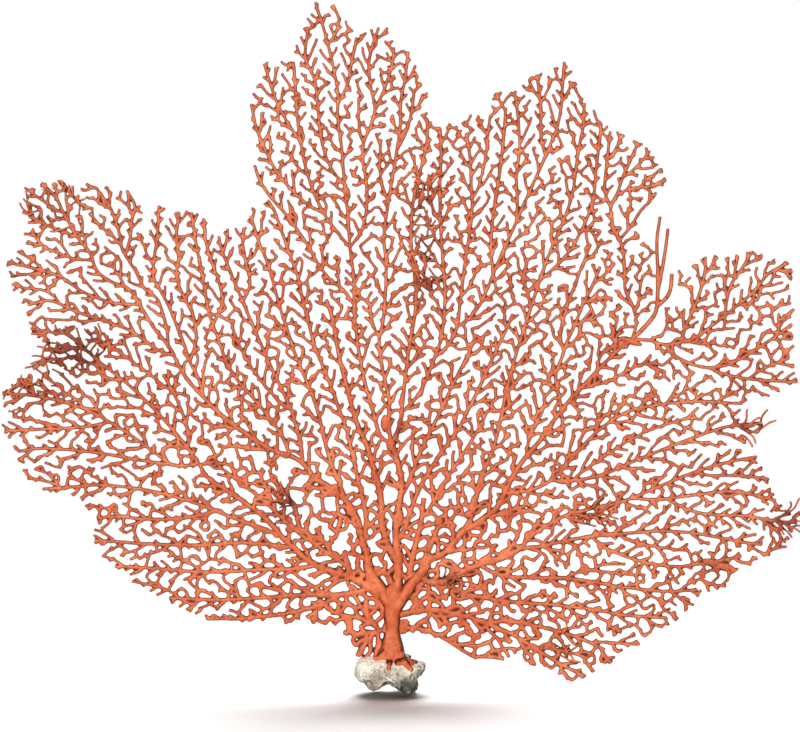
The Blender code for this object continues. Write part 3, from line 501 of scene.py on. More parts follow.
@dataclass
class Net:
    """The listed ribs and the twigs that grow in the room between them."""

    outlook: Outlook
    ribs: dict[str, dict[str, list[Point]]]
    edge_px: list[Point]
    seed: int = 5
    crown_px: Point = (393, 606)
    step: float = 0.5 * MM
    margin: float = 14 * MM
    ease: float = 6.0 * MM
    flow_cells: int = 8
    flow_every: int = 3
    flow_blur: float = 4 * MM
    look_back: int = 4
    own_reach: float = 1.6
    sight: float = 0.35
    parent_sight: float = 0.80
    rib_pitch: Point = (2.0 * MM, 3.9 * MM)
    twig_pitch: Point = (2.6 * MM, 5.0 * MM)
    spur_share: float = 0.12
    spur_reach: Point = (2.4 * MM, 4.5 * MM)
    edge_gap: Point = (0.2 * MM, 1.9 * MM)
    edge_scale: float = 90.0
    edge_layer: float = 3.0
    joined_inside: float = 0.90
    joined_outside: float = 0.20
    joined_span: float = 190 * MM
    switch_share: float = 0.7
    bud_every: int = 3
    first_leader: int = 4
    first_fill: int = 2
    joined_end: int = 4
    free_end: int = 2
    least_path: int = 2
    leader_passes: int = 3
    fill_passes: int = 3
    branches: list[Branch] = field(default_factory=list)

    def __post_init__(self) -> None:
        """Lay the ribs and make the grid that the twigs feel their way on."""
        self.rng = random.Random(self.seed)
        self.crown = self.outlook.front(self.crown_px)
        self.lay_ribs()
        self.edge = np.array([self.outlook.front(place) for place in self.edge_px])
        self.low = self.edge.min(axis=0) - self.margin
        span = self.edge.max(axis=0) + self.margin - self.low
        shape = np.ceil(span / self.step).astype(int)
        self.taken = np.full(shape, -1, int)
        self.step_at = np.zeros(shape, int)
        self.open = self.inside_grid()
        self.windows: dict[int, tuple] = {}
        for number, branch in enumerate(self.branches):
            for i, (x, z) in enumerate(branch.path):
                self.mark(x, z, number, i)
        self.lay_flow()

    @staticmethod
    def even_path(corners: list[Point], pitch: float) -> np.ndarray:
        """A smooth path through given points.

        Args:
            corners: The points that the path goes through.
            pitch: The distance between the points of the path.

        Returns:
            The path's points.
        """
        knots = [np.array(corner, float) for corner in corners]
        knots = [2 * knots[0] - knots[1]] + knots + [2 * knots[-1] - knots[-2]]
        fine = []
        for p0, p1, p2, p3 in zip(knots, knots[1:], knots[2:], knots[3:]):
            for t in np.linspace(0.0, 1.0, KNOT_STEPS, endpoint=False):
                linear = (p2 - p0) * t
                square = (2 * p0 - 5 * p1 + 4 * p2 - p3) * t ** 2
                cube = (3 * p1 - p0 - 3 * p2 + p3) * t ** 3
                fine.append(0.5 * (2 * p1 + linear + square + cube))
        fine = np.array(fine + [knots[-2]])
        steps = np.linalg.norm(np.diff(fine, axis=0), axis=1)
        along = np.concatenate([[0.0], np.cumsum(steps)])
        wanted = np.linspace(0.0, along[-1], max(1, round(along[-1] / pitch)) + 1)
        return np.column_stack([np.interp(wanted, along, fine[:, k]) for k in (0, 1)])

    def lay_ribs(self) -> None:
        """Turn the traced ribs into branches, each starting on the rib it forks from."""
        for limb, traced in self.ribs.items():
            for name, corners in (traced | ADDED.get(limb, {})).items():
                path = self.even_path([self.outlook.front(p) for p in corners], self.step)
                rib = Branch([], name=name, limb=limb)
                if self.branches:
                    gaps = [np.linalg.norm(np.array(b.path) - path[0], axis=1) for b in self.branches]
                    rib.parent = int(np.argmin([gap.min() for gap in gaps]))
                    rib.fork = int(np.argmin(gaps[rib.parent]))
                    shift = np.array(self.branches[rib.parent].path[rib.fork]) - path[0]
                    fade = np.exp(-np.arange(len(path)) * self.step / self.ease)
                    path = path + shift * fade[:, None]
                rib.path = [tuple(point) for point in path]
                self.branches.append(rib)

    def inside_grid(self) -> np.ndarray:
        """Mark the grid's cells that lie inside the fan's edge."""
        shape = self.taken.shape
        columns = self.low[0] + (np.arange(shape[0]) + 0.5) * self.step
        inside = np.zeros(shape, bool)
        ahead = np.roll(self.edge, -1, axis=0)
        for j in range(shape[1]):
            z = self.low[1] + (j + 0.5) * self.step
            crosses = (self.edge[:, 1] > z) != (ahead[:, 1] > z)
            start = self.edge[crosses]
            run = ahead[crosses] - start
            at = start[:, 0] + (z - start[:, 1]) / run[:, 1] * run[:, 0]
            inside[:, j] = (columns[:, None] < at).sum(axis=1) % 2 == 1
        return inside

    def lay_flow(self) -> None:
        """Work out, on a coarse grid, which way the ribs run."""
        paths = [np.array(branch.path) for branch in self.branches]
        middle = np.vstack([0.5 * (path[1:] + path[:-1]) for path in paths])[::self.flow_every]
        run = np.vstack([np.diff(path, axis=0) for path in paths])[::self.flow_every]
        run = run / np.linalg.norm(run, axis=1)[:, None]
        self.flow_cell = self.flow_cells * self.step
        shape = np.array(self.taken.shape) // self.flow_cells + 2
        self.flow_x = np.zeros(shape)
        self.flow_z = np.zeros(shape)
        rows = self.low[1] + np.arange(shape[1]) * self.flow_cell
        for a in range(shape[0]):
            x = self.low[0] + a * self.flow_cell
            away = (middle[None, :, 0] - x) ** 2 + (middle[None, :, 1] - rows[:, None]) ** 2
            weight = 1.0 / (away + self.flow_blur ** 2) ** 2
            self.flow_x[a] = weight @ run[:, 0]
            self.flow_z[a] = weight @ run[:, 1]

    def flow(self, x: float, z: float) -> float:
        """The heading of the ribs near a point, in radians."""
        a = int((x - self.low[0]) / self.flow_cell + 0.5)
        b = int((z - self.low[1]) / self.flow_cell + 0.5)
        return math.atan2(self.flow_z[a, b], self.flow_x[a, b])

    def cell(self, x: float, z: float) -> tuple[int, int]:
        """The grid cell that holds a point."""
        return int((x - self.low[0]) / self.step), int((z - self.low[1]) / self.step)

    def mark(self, x: float, z: float, number: int, i: int) -> None:
        """Note that a branch's point lies in a cell."""
        cell = self.cell(x, z)
        self.taken[cell] = number
        self.step_at[cell] = i

    def window(self, air: float) -> tuple:
        """The offsets and distances of the cells around a point.

        Args:
            air: How far out the cells matter.

        Returns:
            The half width in cells, the X offsets, the Z offsets and the distances.
        """
        half = int(math.ceil(air / self.step))
        if half not in self.windows:
            span = np.arange(-half, half + 1) * self.step
            dx, dz = np.meshgrid(span, span, indexing="ij")
            self.windows[half] = (half, dx, dz, np.hypot(dx, dz))
        return self.windows[half]

    def met(self, x: float, z: float, number: int, air: float, fork_free: float,
            heading: float | None = None) -> tuple[int, int] | None:
        """The nearest cell of another branch within reach.

        Args:
            x: The point's X.
            z: The point's Z.
            number: The branch that asks.
            air: How near the other has to be.
            fork_free: How far round its own fork the parent doesn't count.
            heading: Where the branch heads, to look only ahead.

        Returns:
            The cell, or None.
        """
        branch = self.branches[number]
        a, b = self.cell(x, z)
        half, dx, dz, far = self.window(air)
        ids = self.taken[a - half:a + half + 1, b - half:b + half + 1]
        near = (ids >= 0) & (ids != number) & (far < air)
        if not near.any():
            return None
        i, j = np.nonzero(near)
        ids, dx, dz, far = ids[i, j], dx[i, j], dz[i, j], far[i, j]
        base_x = branch.path[0][0] - x
        base_z = branch.path[0][1] - z
        of_parent = ids == branch.parent
        keep = ~((np.hypot(dx - base_x, dz - base_z) < fork_free) & of_parent)
        if heading is not None:
            ahead = dx * math.cos(heading) + dz * math.sin(heading)
            keep &= ahead > np.where(of_parent, self.parent_sight, self.sight) * far
        if not keep.any():
            return None
        k = int(np.argmin(np.where(keep, far, FAR)))
        return a - half + int(i[k]), b - half + int(j[k])

    def bud(self, number: int, i: int, side: int, kind: Kind) -> bool:
        """Start a branch at a point of another one, where it finds room.

        Args:
            number: The branch that buds.
            i: The point of its path.
            side: 1 to the left of its run, -1 to the right.
            kind: What the new branch is.

        Returns:
            Whether it started.
        """
        habit = LEADER_HABIT if kind is Kind.LEADER else TWIG_HABIT
        parent = self.branches[number]
        if i < 1 or i >= len(parent.path):
            return False
        x, z = parent.path[i]
        back_x, back_z = parent.path[max(0, i - self.look_back)]
        heading = math.atan2(z - back_z, x - back_x)
        heading += side * self.rng.uniform(*habit.fork_angle)
        a, b = self.cell(x + habit.probe * math.cos(heading), z + habit.probe * math.sin(heading))
        if not self.open[a, b]:
            return False
        half, _, _, far = self.window(habit.probe_air)
        ids = self.taken[a - half:a + half + 1, b - half:b + half + 1]
        steps = self.step_at[a - half:a + half + 1, b - half:b + half + 1]
        own = (ids == number) & (np.abs(steps - i) * self.step < self.own_reach * habit.probe)
        if ((ids >= 0) & ~own & (far < habit.probe_air)).any():
            return False
        if kind is Kind.TWIG and not self.is_inside(x, z):
            return False
        out = min(1.0, math.dist((x, z), self.crown) / self.joined_span)
        chance = self.joined_inside + (self.joined_outside - self.joined_inside) * out
        reach = self.rng.uniform(*habit.reach)
        if kind is Kind.TWIG and self.rng.random() < self.spur_share:
            reach = self.rng.uniform(*self.spur_reach)
        self.branches.append(Branch(
            [(x, z)], kind, "", parent.limb, number, i, side, heading,
            reach, self.rng.random() < chance, False, True,
            self.rng.uniform(*self.twig_pitch)))
        return True

    def is_inside(self, x: float, z: float) -> bool:
        """Whether a twig's point lies far enough inside the fan's ragged edge."""
        start = self.edge
        run = np.roll(self.edge, -1, axis=0) - start
        gap_x = x - start[:, 0]
        gap_z = z - start[:, 1]
        part = (gap_x * run[:, 0] + gap_z * run[:, 1]) / (run ** 2).sum(axis=1)
        part = np.clip(part, 0.0, 1.0)
        away = np.hypot(gap_x - part * run[:, 0], gap_z - part * run[:, 1]).min()
        ragged = 0.5 + noise.noise(Vector((x, self.edge_layer, z)) * self.edge_scale)
        return away > self.edge_gap[0] + (self.edge_gap[1] - self.edge_gap[0]) * ragged

    def run(self) -> None:
        """Let every growing branch grow, a step at a time, until all have stopped."""
        active = [n for n, branch in enumerate(self.branches) if branch.growing]
        while active:
            fresh = []
            self.rng.shuffle(active)
            for number in active:
                fresh.extend(self.grow_step(number))
            active = fresh

    def grow_step(self, number: int) -> list[int]:
        """Grow one branch by a step.

        Args:
            number: The branch.

        Returns:
            The branches that go on growing because of it.
        """
        branch = self.branches[number]
        habit = LEADER_HABIT if branch.kind is Kind.LEADER else TWIG_HABIT
        x, z = branch.path[-1]
        length = (len(branch.path) - 1) * self.step
        spread = habit.lean + habit.spread * math.exp(-length / habit.bend)
        turn = self.flow(x, z) + branch.side * spread - branch.heading
        turn = (turn + math.pi) % (2 * math.pi) - math.pi
        branch.heading += max(-habit.turn, min(habit.turn, turn)) + self.rng.gauss(0.0, habit.wander)
        x += self.step * math.cos(branch.heading)
        z += self.step * math.sin(branch.heading)
        met = self.met(x, z, number, habit.air, habit.fork_free, branch.heading)
        if met is None and length > habit.fork_free:
            met = self.met(x, z, number, habit.side_air, habit.fork_free)
        stopped = not self.open[self.cell(x, z)] or length > branch.reach
        if branch.kind is Kind.TWIG and not stopped:
            stopped = not self.is_inside(x, z)
        if met is not None or stopped:
            branch.growing = False
            if met is not None and branch.joins:
                self.join(number, met)
            return []
        branch.path.append((x, z))
        self.mark(x, z, number, len(branch.path) - 1)
        fresh = [number]
        if branch.kind is Kind.TWIG and length > branch.next_bud:
            side = -branch.side if self.rng.random() < self.switch_share else branch.side
            if self.bud(number, len(branch.path) - 2, side, Kind.TWIG):
                fresh.append(len(self.branches) - 1)
            branch.next_bud = length + self.rng.uniform(*self.twig_pitch)
        return fresh

    def join(self, number: int, met: tuple[int, int]) -> None:
        """Run a branch's tip on into the branch that it met."""
        branch = self.branches[number]
        other = self.branches[self.taken[met]]
        x, z = branch.path[-1]
        to_x, to_z = other.path[min(self.step_at[met], len(other.path) - 1)]
        count = max(1, round(math.hypot(to_x - x, to_z - z) / self.step))
        for k in range(1, count + 1):
            point = (x + (to_x - x) * k / count, z + (to_z - z) * k / count)
            branch.path.append(point)
            if k < count:
                self.mark(*point, number, len(branch.path) - 1)
        branch.joined = True

    def is_bare(self, branch: Branch) -> bool:
        """Whether a branch carries no twigs."""
        return branch.name == "trunk" or branch.name.startswith("spike")

    def prune(self, kind: Kind, shortest: float) -> None:
        """Take out the branches that hardly grew and carry nothing."""
        count = int(shortest / self.step)
        carrying = {branch.parent for branch in self.branches}
        for number, branch in enumerate(self.branches):
            if branch.kind is not kind or len(branch.path) > count or number in carrying:
                continue
            for x, z in branch.path[1:]:
                cell = self.cell(x, z)
                if self.taken[cell] == number:
                    self.taken[cell] = -1
            branch.path = branch.path[:1]

    def grow(self) -> list[Branch]:
        """Grow the leaders, then the twigs, then the twigs that fill the gaps.

        Returns:
            Every branch of the net.
        """
        for _ in range(self.leader_passes):
            order = [n for n, branch in enumerate(self.branches) if not self.is_bare(branch)]
            self.rng.shuffle(order)
            for number in order:
                first = self.first_leader + self.rng.randrange(self.bud_every)
                for i in range(first, len(self.branches[number].path), self.bud_every):
                    side = self.rng.choice((-1, 1))
                    if (self.bud(number, i, side, Kind.LEADER)
                            or self.bud(number, i, -side, Kind.LEADER)):
                        self.run()
            self.prune(Kind.LEADER, LEADER_HABIT.shortest)
        for number in range(len(self.branches)):
            rib = self.branches[number]
            if self.is_bare(rib) or len(rib.path) <= self.least_path:
                continue
            side = self.rng.choice((-1, 1))
            at = self.rng.uniform(*self.rib_pitch)
            while at < (len(rib.path) - 2) * self.step:
                side = -side
                self.bud(number, int(at / self.step), side, Kind.TWIG)
                at += self.rng.uniform(*self.rib_pitch)
        self.run()
        self.prune(Kind.TWIG, TWIG_HABIT.shortest)
        for _ in range(self.fill_passes):
            for number in range(len(self.branches)):
                branch = self.branches[number]
                if self.is_bare(branch):
                    continue
                first = self.first_fill + self.rng.randrange(self.bud_every)
                last = len(branch.path) - (self.joined_end if branch.joined else self.free_end)
                for i in range(first, last, self.bud_every):
                    self.bud(number, i, self.rng.choice((-1, 1)), Kind.TWIG)
            self.run()
            self.prune(Kind.TWIG, TWIG_HABIT.shortest)
        return [branch for branch in self.branches if len(branch.path) > self.least_path]


@dataclass(frozen=True)
class Tangle:
    """A clump where a second layer of twigs lies on the net."""

    place_px: Point
    size_px: Point
    count: int
    lifts: Point
    start_every: int = 4
    steps: tuple[int, int] = (9, 26)
    swing: float = 1.0
    wander: float = 0.16

    def grow(self, net: Net, rng: random.Random) -> list[Branch]:
        """Grow the clump's twigs from the net below it.

        Args:
            net: The grown net.
            rng: Where the chances come from.

        Returns:
            The clump's twigs.
        """
        x, z = net.outlook.front(self.place_px)
        wide, tall = (size * net.outlook.pixel for size in self.size_px)
        starts = []
        for branch in net.branches:
            for i in range(2, len(branch.path), self.start_every):
                spot = branch.path[i]
                if ((spot[0] - x) / wide) ** 2 + ((spot[1] - z) / tall) ** 2 < 1.0:
                    starts.append((spot, branch.limb))
        twigs = []
        for _ in range(self.count if starts else 0):
            spot, limb = rng.choice(starts)
            heading = net.flow(*spot) + rng.uniform(-self.swing, self.swing)
            path = [spot]
            for _ in range(rng.randrange(*self.steps)):
                heading += rng.gauss(0.0, self.wander)
                last = path[-1]
                path.append((last[0] + net.step * math.cos(heading),
                             last[1] + net.step * math.sin(heading)))
            lift = rng.uniform(*self.lifts) * rng.choice((-1.0, 1.0))
            twigs.append(Branch(path, Kind.TWIG, limb=limb, joined=True, lift=lift))
        return twigs


TANGLES = [
    Tangle((72, 352), (34, 22), 40, (1.4 * MM, 3.2 * MM)),
    Tangle((40, 392), (26, 22), 20, (1.4 * MM, 2.6 * MM)),
    Tangle((426, 205), (12, 28), 24, (1.4 * MM, 3.0 * MM)),
    Tangle((428, 262), (14, 34), 28, (1.4 * MM, 2.8 * MM)),
    Tangle((288, 506), (11, 11), 16, (1.6 * MM, 4.0 * MM)),
    Tangle((783, 518), (13, 12), 14, (1.4 * MM, 3.0 * MM)),
    Tangle((750, 428), (14, 9), 10, (1.4 * MM, 3.0 * MM)),
    Tangle((60, 215), (34, 26), 22, (1.4 * MM, 2.8 * MM)),
    Tangle((452, 583), (14, 6), 12, (1.6 * MM, 3.4 * MM)),
    Tangle((588, 516), (14, 12), 12, (1.4 * MM, 2.6 * MM)),
    Tangle((560, 650), (16, 10), 10, (1.4 * MM, 2.6 * MM)),
]


def deselect() -> None:
    """Leave nothing selected."""
    bpy.ops.object.select_all(action="DESELECT")


def make_active(piece: Piece) -> None:
    """Select one object alone and make it the active one."""
    deselect()
    piece.select_set(True)
    bpy.context.view_layer.objects.active = piece


def settle(piece: Piece) -> None:
    """Put an object's place into its mesh."""
    make_active(piece)
    bpy.ops.object.transform_apply(location=True, rotation=True, scale=True)


def hang(name: str, data: bpy.types.ID) -> Piece:
    """Make an object of some data and put it into the scene."""
    piece = bpy.data.objects.new(name, data)
    bpy.context.scene.collection.objects.link(piece)
    return piece


def apply_modifier(piece: Piece, kind: str, **settings: object) -> None:
    """Add a modifier to an object and apply it at once.

    Args:
        piece: The object.
        kind: The modifier's type.
        settings: Its settings by name.
    """
    make_active(piece)
    modifier = piece.modifiers.new(kind.title(), kind)
    for name, value in settings.items():
        setattr(modifier, name, value)
    bpy.ops.object.modifier_apply(modifier=modifier.name)


def make_tubes(name: str, strands: list[list[tuple[Place, float]]], roundness: int) -> Piece:
    """Make one mesh of capped round tubes.

    Args:
        name: Its name.
        strands: The places of each tube, with the radius there.
        roundness: How finely the tubes are rounded.

    Returns:
        The mesh's object, left active.
    """
    curve = bpy.data.curves.new(name, "CURVE")
    curve.dimensions = "3D"
    curve.bevel_depth = 1.0
    curve.bevel_resolution = roundness
    curve.use_fill_caps = True
    for strand in strands:
        spline = curve.splines.new("POLY")
        spline.points.add(len(strand) - 1)
        for point, (place, radius) in zip(spline.points, strand):
            point.co = (*place, 1.0)
            point.radius = radius
    make_active(hang(name, curve))
    bpy.ops.object.convert(target="MESH")
    return bpy.context.view_layer.objects.active


def read_vectors(items: bpy.types.bpy_prop_collection, name: str) -> np.ndarray:
    """Read one vector of each of a mesh's points."""
    values = np.empty(len(items) * 3)
    items.foreach_get(name, values)
    return values.reshape(-1, 3)


def coat(piece: Piece, finish: bpy.types.Material) -> None:
    """Shade a piece smoothly and give it its only material."""
    make_active(piece)
    bpy.ops.object.shade_smooth()
    piece.data.materials.clear()
    piece.data.materials.append(finish)


@dataclass(frozen=True)
class Lump:
    """A swelling where branches have grown together."""

    place_px: Point
    size_px: Point
    depth: float
    turn: float = 0.0


# The trunk's radius at heights above the floor
TRUNK_WIDTHS = [
    (16.0 * MM, 6.9 * MM), (21.0 * MM, 6.5 * MM), (25.0 * MM, 5.7 * MM), (28.5 * MM, 4.6 * MM),
    (33.0 * MM, 3.6 * MM), (38.5 * MM, 4.4 * MM), (43.5 * MM, 4.6 * MM), (46.0 * MM, 3.0 * MM),
]
SLENDER = ("trunk_left", "droop", "foot_low", "hem_")


@dataclass(frozen=True)
class Thickness:
    """How thick the branches are."""

    limb_swell: float = 2.1 * MM
    rib_swell: float = 1.2 * MM
    leader_swell: float = 0.5 * MM
    twig_swell: float = 0.5 * MM
    rib: float = 0.90 * MM
    leader: float = 0.84 * MM
    twig: float = 0.80 * MM
    tangle: float = 0.66 * MM
    spike: float = 0.42 * MM
    spike_span: Point = (175 * MM, 60 * MM)
    near_swell: float = 0.24 * MM
    main_swell: float = 0.55 * MM
    swell_length: float = 36 * MM
    near_length: float = 120 * MM
    knobs: float = 0.13
    knob_scale: float = 520.0
    knob_layer: float = 7.0 * MM
    base_flare: float = 0.32
    flare_length: float = 0.9 * MM

    def at(self, branch: Branch, i: int, crown: Point, step: float) -> float:
        """The branch's radius at a point of its path.

        Args:
            branch: The branch.
            i: The point's number.
            crown: Where the main limbs fork from the trunk.
            step: The distance between the path's points.

        Returns:
            The radius in metres.
        """
        x, z = branch.path[i]
        away = math.dist((x, z), crown)
        if branch.name == "trunk":
            return self.trunk_radius(z)
        if branch.lift:
            return self.tangle
        near = math.exp(-away / self.swell_length)
        if branch.kind is Kind.TWIG or branch.name.startswith(SLENDER):
            radius = self.twig + self.twig_swell * near
        elif branch.kind is Kind.LEADER:
            radius = self.leader + self.leader_swell * near
        else:
            swell = self.limb_swell if branch.name in MAIN_RIBS else self.rib_swell
            radius = self.rib + swell * near
        far_swell = self.near_swell
        if branch.name in MAIN_RIBS:
            far_swell += self.main_swell
        radius += far_swell * math.exp(-away / self.near_length)
        if branch.name.startswith("spike"):
            start, span = self.spike_span
            radius += self.spike * min(1.0, max(0.0, 1.0 - (z - start) / span))
        radius *= 1.0 + self.knobs * noise.noise(Vector((x, self.knob_layer, z)) * self.knob_scale)
        if branch.kind is not Kind.RIB:
            radius *= 1.0 + self.base_flare * math.exp(-i * step / self.flare_length)
            if branch.joined:
                rest = (len(branch.path) - 1 - i) * step
                radius *= 1.0 + self.base_flare * math.exp(-rest / self.flare_length)
        return radius

    def trunk_radius(self, z: float) -> float:
        """The trunk's radius at a height: a neck between the foot and the crown."""
        heights, widths = zip(*TRUNK_WIDTHS)
        return float(np.interp(z, heights, widths))


@dataclass(frozen=True)
class Speckle:
    """Noise on the object's own coordinates, and the part of its range that counts."""

    scale: float
    detail: float
    rough: float
    bend: float
    low: float
    high: float


@dataclass
class Nodes:
    """A material's node tree, with short ways to add to it."""

    name: str

    def __post_init__(self) -> None:
        """Make an empty material with a shader and an output."""
        self.material = bpy.data.materials.new(self.name)
        self.material.use_nodes = True
        self.tree = self.material.node_tree
        self.tree.nodes.clear()
        self.shader = self.add("BsdfPrincipled")
        self.add("OutputMaterial", {"Surface": self.shader.outputs["BSDF"]})
        coordinates = self.add("TexCoord").outputs
        self.place = coordinates["Object"]
        self.normal = coordinates["Normal"]

    def put(self, value: Value, socket: Socket) -> None:
        """Link a value to a socket, or set it there if it is a constant."""
        if isinstance(value, bpy.types.NodeSocket):
            self.tree.links.new(value, socket)
        else:
            socket.default_value = value

    def add(self, kind: str, values: dict[str | int, Value] | None = None,
            **settings: str) -> bpy.types.Node:
        """Add a node.

        Args:
            kind: Its type.
            values: What its inputs get, by name or number.
            settings: Its own settings by name.

        Returns:
            The node.
        """
        node = self.tree.nodes.new(f"ShaderNode{kind}")
        for name, setting in settings.items():
            setattr(node, name, setting)
        for name, value in (values or {}).items():
            self.put(value, node.inputs[name])
        return node

    def noise(self, scale: float, detail: float, rough: float, bend: float = 0.0) -> Socket:
        """Noise on the object's own coordinates.

        Args:
            scale: Its features per metre.
            detail: How many finer layers it has.
            rough: How strong those are.
            bend: How much it is distorted.

        Returns:
            The factor socket.
        """
        values = {"Scale": scale, "Detail": detail, "Roughness": rough, "Distortion": bend,
                  "Vector": self.place}
        return self.add("TexNoise", values).outputs["Fac"]

    def cells(self, scale: float) -> Socket:
        """The distance to the nearest of many scattered points."""
        return self.add("TexVoronoi", {"Scale": scale, "Vector": self.place}).outputs["Distance"]

    def ramp(self, factor: Socket, low: float, high: float) -> Socket:
        """Spread part of a factor's range over 0 to 1."""
        values = {"From Min": low, "From Max": high, "Value": factor}
        return self.add("MapRange", values, interpolation_type="SMOOTHSTEP").outputs["Result"]

    def speckle(self, kind: Speckle) -> Socket:
        """Patches where noise is strong enough."""
        return self.ramp(self.noise(kind.scale, kind.detail, kind.rough, kind.bend), kind.low, kind.high)

    def maths(self, action: str, first: Value, second: Value) -> Socket:
        """A sum, product or the like of two values."""
        return self.add("Math", {0: first, 1: second}, operation=action).outputs["Value"]

    def mix(self, factor: Socket, first: Value, second: Value) -> Socket:
        """A mix of two colours."""
        values = {"Factor": factor, 6: first, 7: second}
        return self.add("Mix", values, data_type="RGBA").outputs[2]

    def tint(self, colour: Socket, factor: Socket, share: float, other: Colour) -> Socket:
        """Lay a share of another colour over a colour where a factor is high."""
        return self.mix(self.maths("MULTIPLY", factor, share), colour, other)

    def attribute(self, name: str) -> Socket:
        """A value that the mesh carries at each of its points."""
        return self.add("Attribute", attribute_name=name).outputs["Fac"]

    def flank_shade(self, begin: float, end: float) -> Socket:
        """Painted shade on the sides of a branch: how much a face looks along the sheet.

        Args:
            begin: The part of the face's direction through the sheet where it begins.
            end: The part where it is whole.

        Returns:
            The factor socket.
        """
        parts = self.add("SeparateXYZ", {"Vector": self.normal})
        through = self.maths("ABSOLUTE", parts.outputs["Y"], 0.0)
        return self.ramp(self.maths("SUBTRACT", 1.0, through), 1.0 - begin, 1.0 - end)

    def near(self, place: Place, size: Place) -> Socket:
        """A soft spot: 1 at a place, falling to 0 at its edge.

        Args:
            place: The spot's middle.
            size: Its half width, depth and height.

        Returns:
            The factor socket.
        """
        values = {"Location": place, "Scale": size, "Vector": self.place}
        mapping = self.add("Mapping", values, vector_type="TEXTURE")
        ball = self.add("TexGradient", {"Vector": mapping.outputs["Vector"]}, gradient_type="SPHERICAL")
        return ball.outputs["Fac"]

    def bump(self, height: Socket, distance: float, strength: float,
             under: Socket | None = None) -> Socket:
        """Turn a height into a bumped normal, on top of another one if given."""
        values = {"Strength": strength, "Distance": distance, "Height": height}
        if under is not None:
            values["Normal"] = under
        return self.add("Bump", values).outputs["Normal"]

    def finish(self, colour: Value, roughness: float, specular: float,
               normal: Socket | None = None) -> bpy.types.Material:
        """Set up the shader.

        Args:
            colour: The base colour.
            roughness: How dull the surface is.
            specular: How strongly it mirrors.
            normal: The bumped normal, if there is one.

        Returns:
            The material.
        """
        self.put(colour, self.shader.inputs["Base Color"])
        self.put(roughness, self.shader.inputs["Roughness"])
        self.put(specular, self.shader.inputs["Specular IOR Level"])
        if normal is not None:
            self.put(normal, self.shader.inputs["Normal"])
        return self.material


@dataclass(frozen=True)
class CoralFinish:
    """The fan's orange-red crust: matt, finely grained, with painted shade on the sides and edges of its
    branches, and darker around listed spots.
    """

    light: Colour = (0.92, 0.240, 0.094, 1.0)
    base: Colour = (0.75, 0.150, 0.050, 1.0)
    deep: Colour = (0.36, 0.050, 0.018, 1.0)
    # Near-black red for the dark streaks, and for the painted shade on the branches' sides and edges
    streak_and_edge_shade: Colour = (0.045, 0.006, 0.002, 1.0)
    darker_tone: Colour = (0.110, 0.016, 0.007, 1.0)
    roughness: float = 0.62
    specular: float = 0.35
    broad: Speckle = Speckle(38.0, 3.0, 0.6, 0.0, 0.35, 0.68)
    patch: Speckle = Speckle(260.0, 4.0, 0.65, 0.4, 0.38, 0.70)
    grain: Speckle = Speckle(2300.0, 2.0, 0.5, 0.0, 0.52, 0.72)
    streaks: Speckle = Speckle(430.0, 5.0, 0.72, 0.8, 0.56, 0.70)
    patch_share: float = 0.55
    grain_share: float = 0.30
    streak_share: float = 0.75
    # Painted shade on the branches' sides and edges: its strength, then the facings it spans
    edge_shade_share: float = 0.95
    flank_shade_range: Point = (0.80, 0.35)
    coarse_bump: Point = (0.25 * MM, 0.6)
    fine_bump: Point = (0.12 * MM, 0.5)

    def build(self) -> bpy.types.Material:
        """Make the material."""
        nodes = Nodes("coral_crust")
        colour = nodes.mix(nodes.speckle(self.broad), self.base, self.light)
        colour = nodes.tint(colour, nodes.speckle(self.patch), self.patch_share, self.deep)
        colour = nodes.tint(colour, nodes.speckle(self.grain), self.grain_share, self.deep)
        colour = nodes.tint(colour, nodes.speckle(self.streaks), self.streak_share, self.streak_and_edge_shade)
        # Painted shade: darken the sides and the front-view edges of every branch, as a frontal light would
        # leave them
        edge_shade = nodes.maths("MAXIMUM", nodes.attribute("rim_shade"), nodes.flank_shade(*self.flank_shade_range))
        colour = nodes.tint(colour, edge_shade, self.edge_shade_share, self.streak_and_edge_shade)
        colour = nodes.mix(nodes.attribute("age"), colour, self.darker_tone)
        coarse = nodes.bump(nodes.noise(900.0, 2.0, 0.5), *self.coarse_bump)
        fine = nodes.bump(nodes.cells(2600.0), *self.fine_bump, coarse)
        return nodes.finish(colour, self.roughness, self.specular, fine)


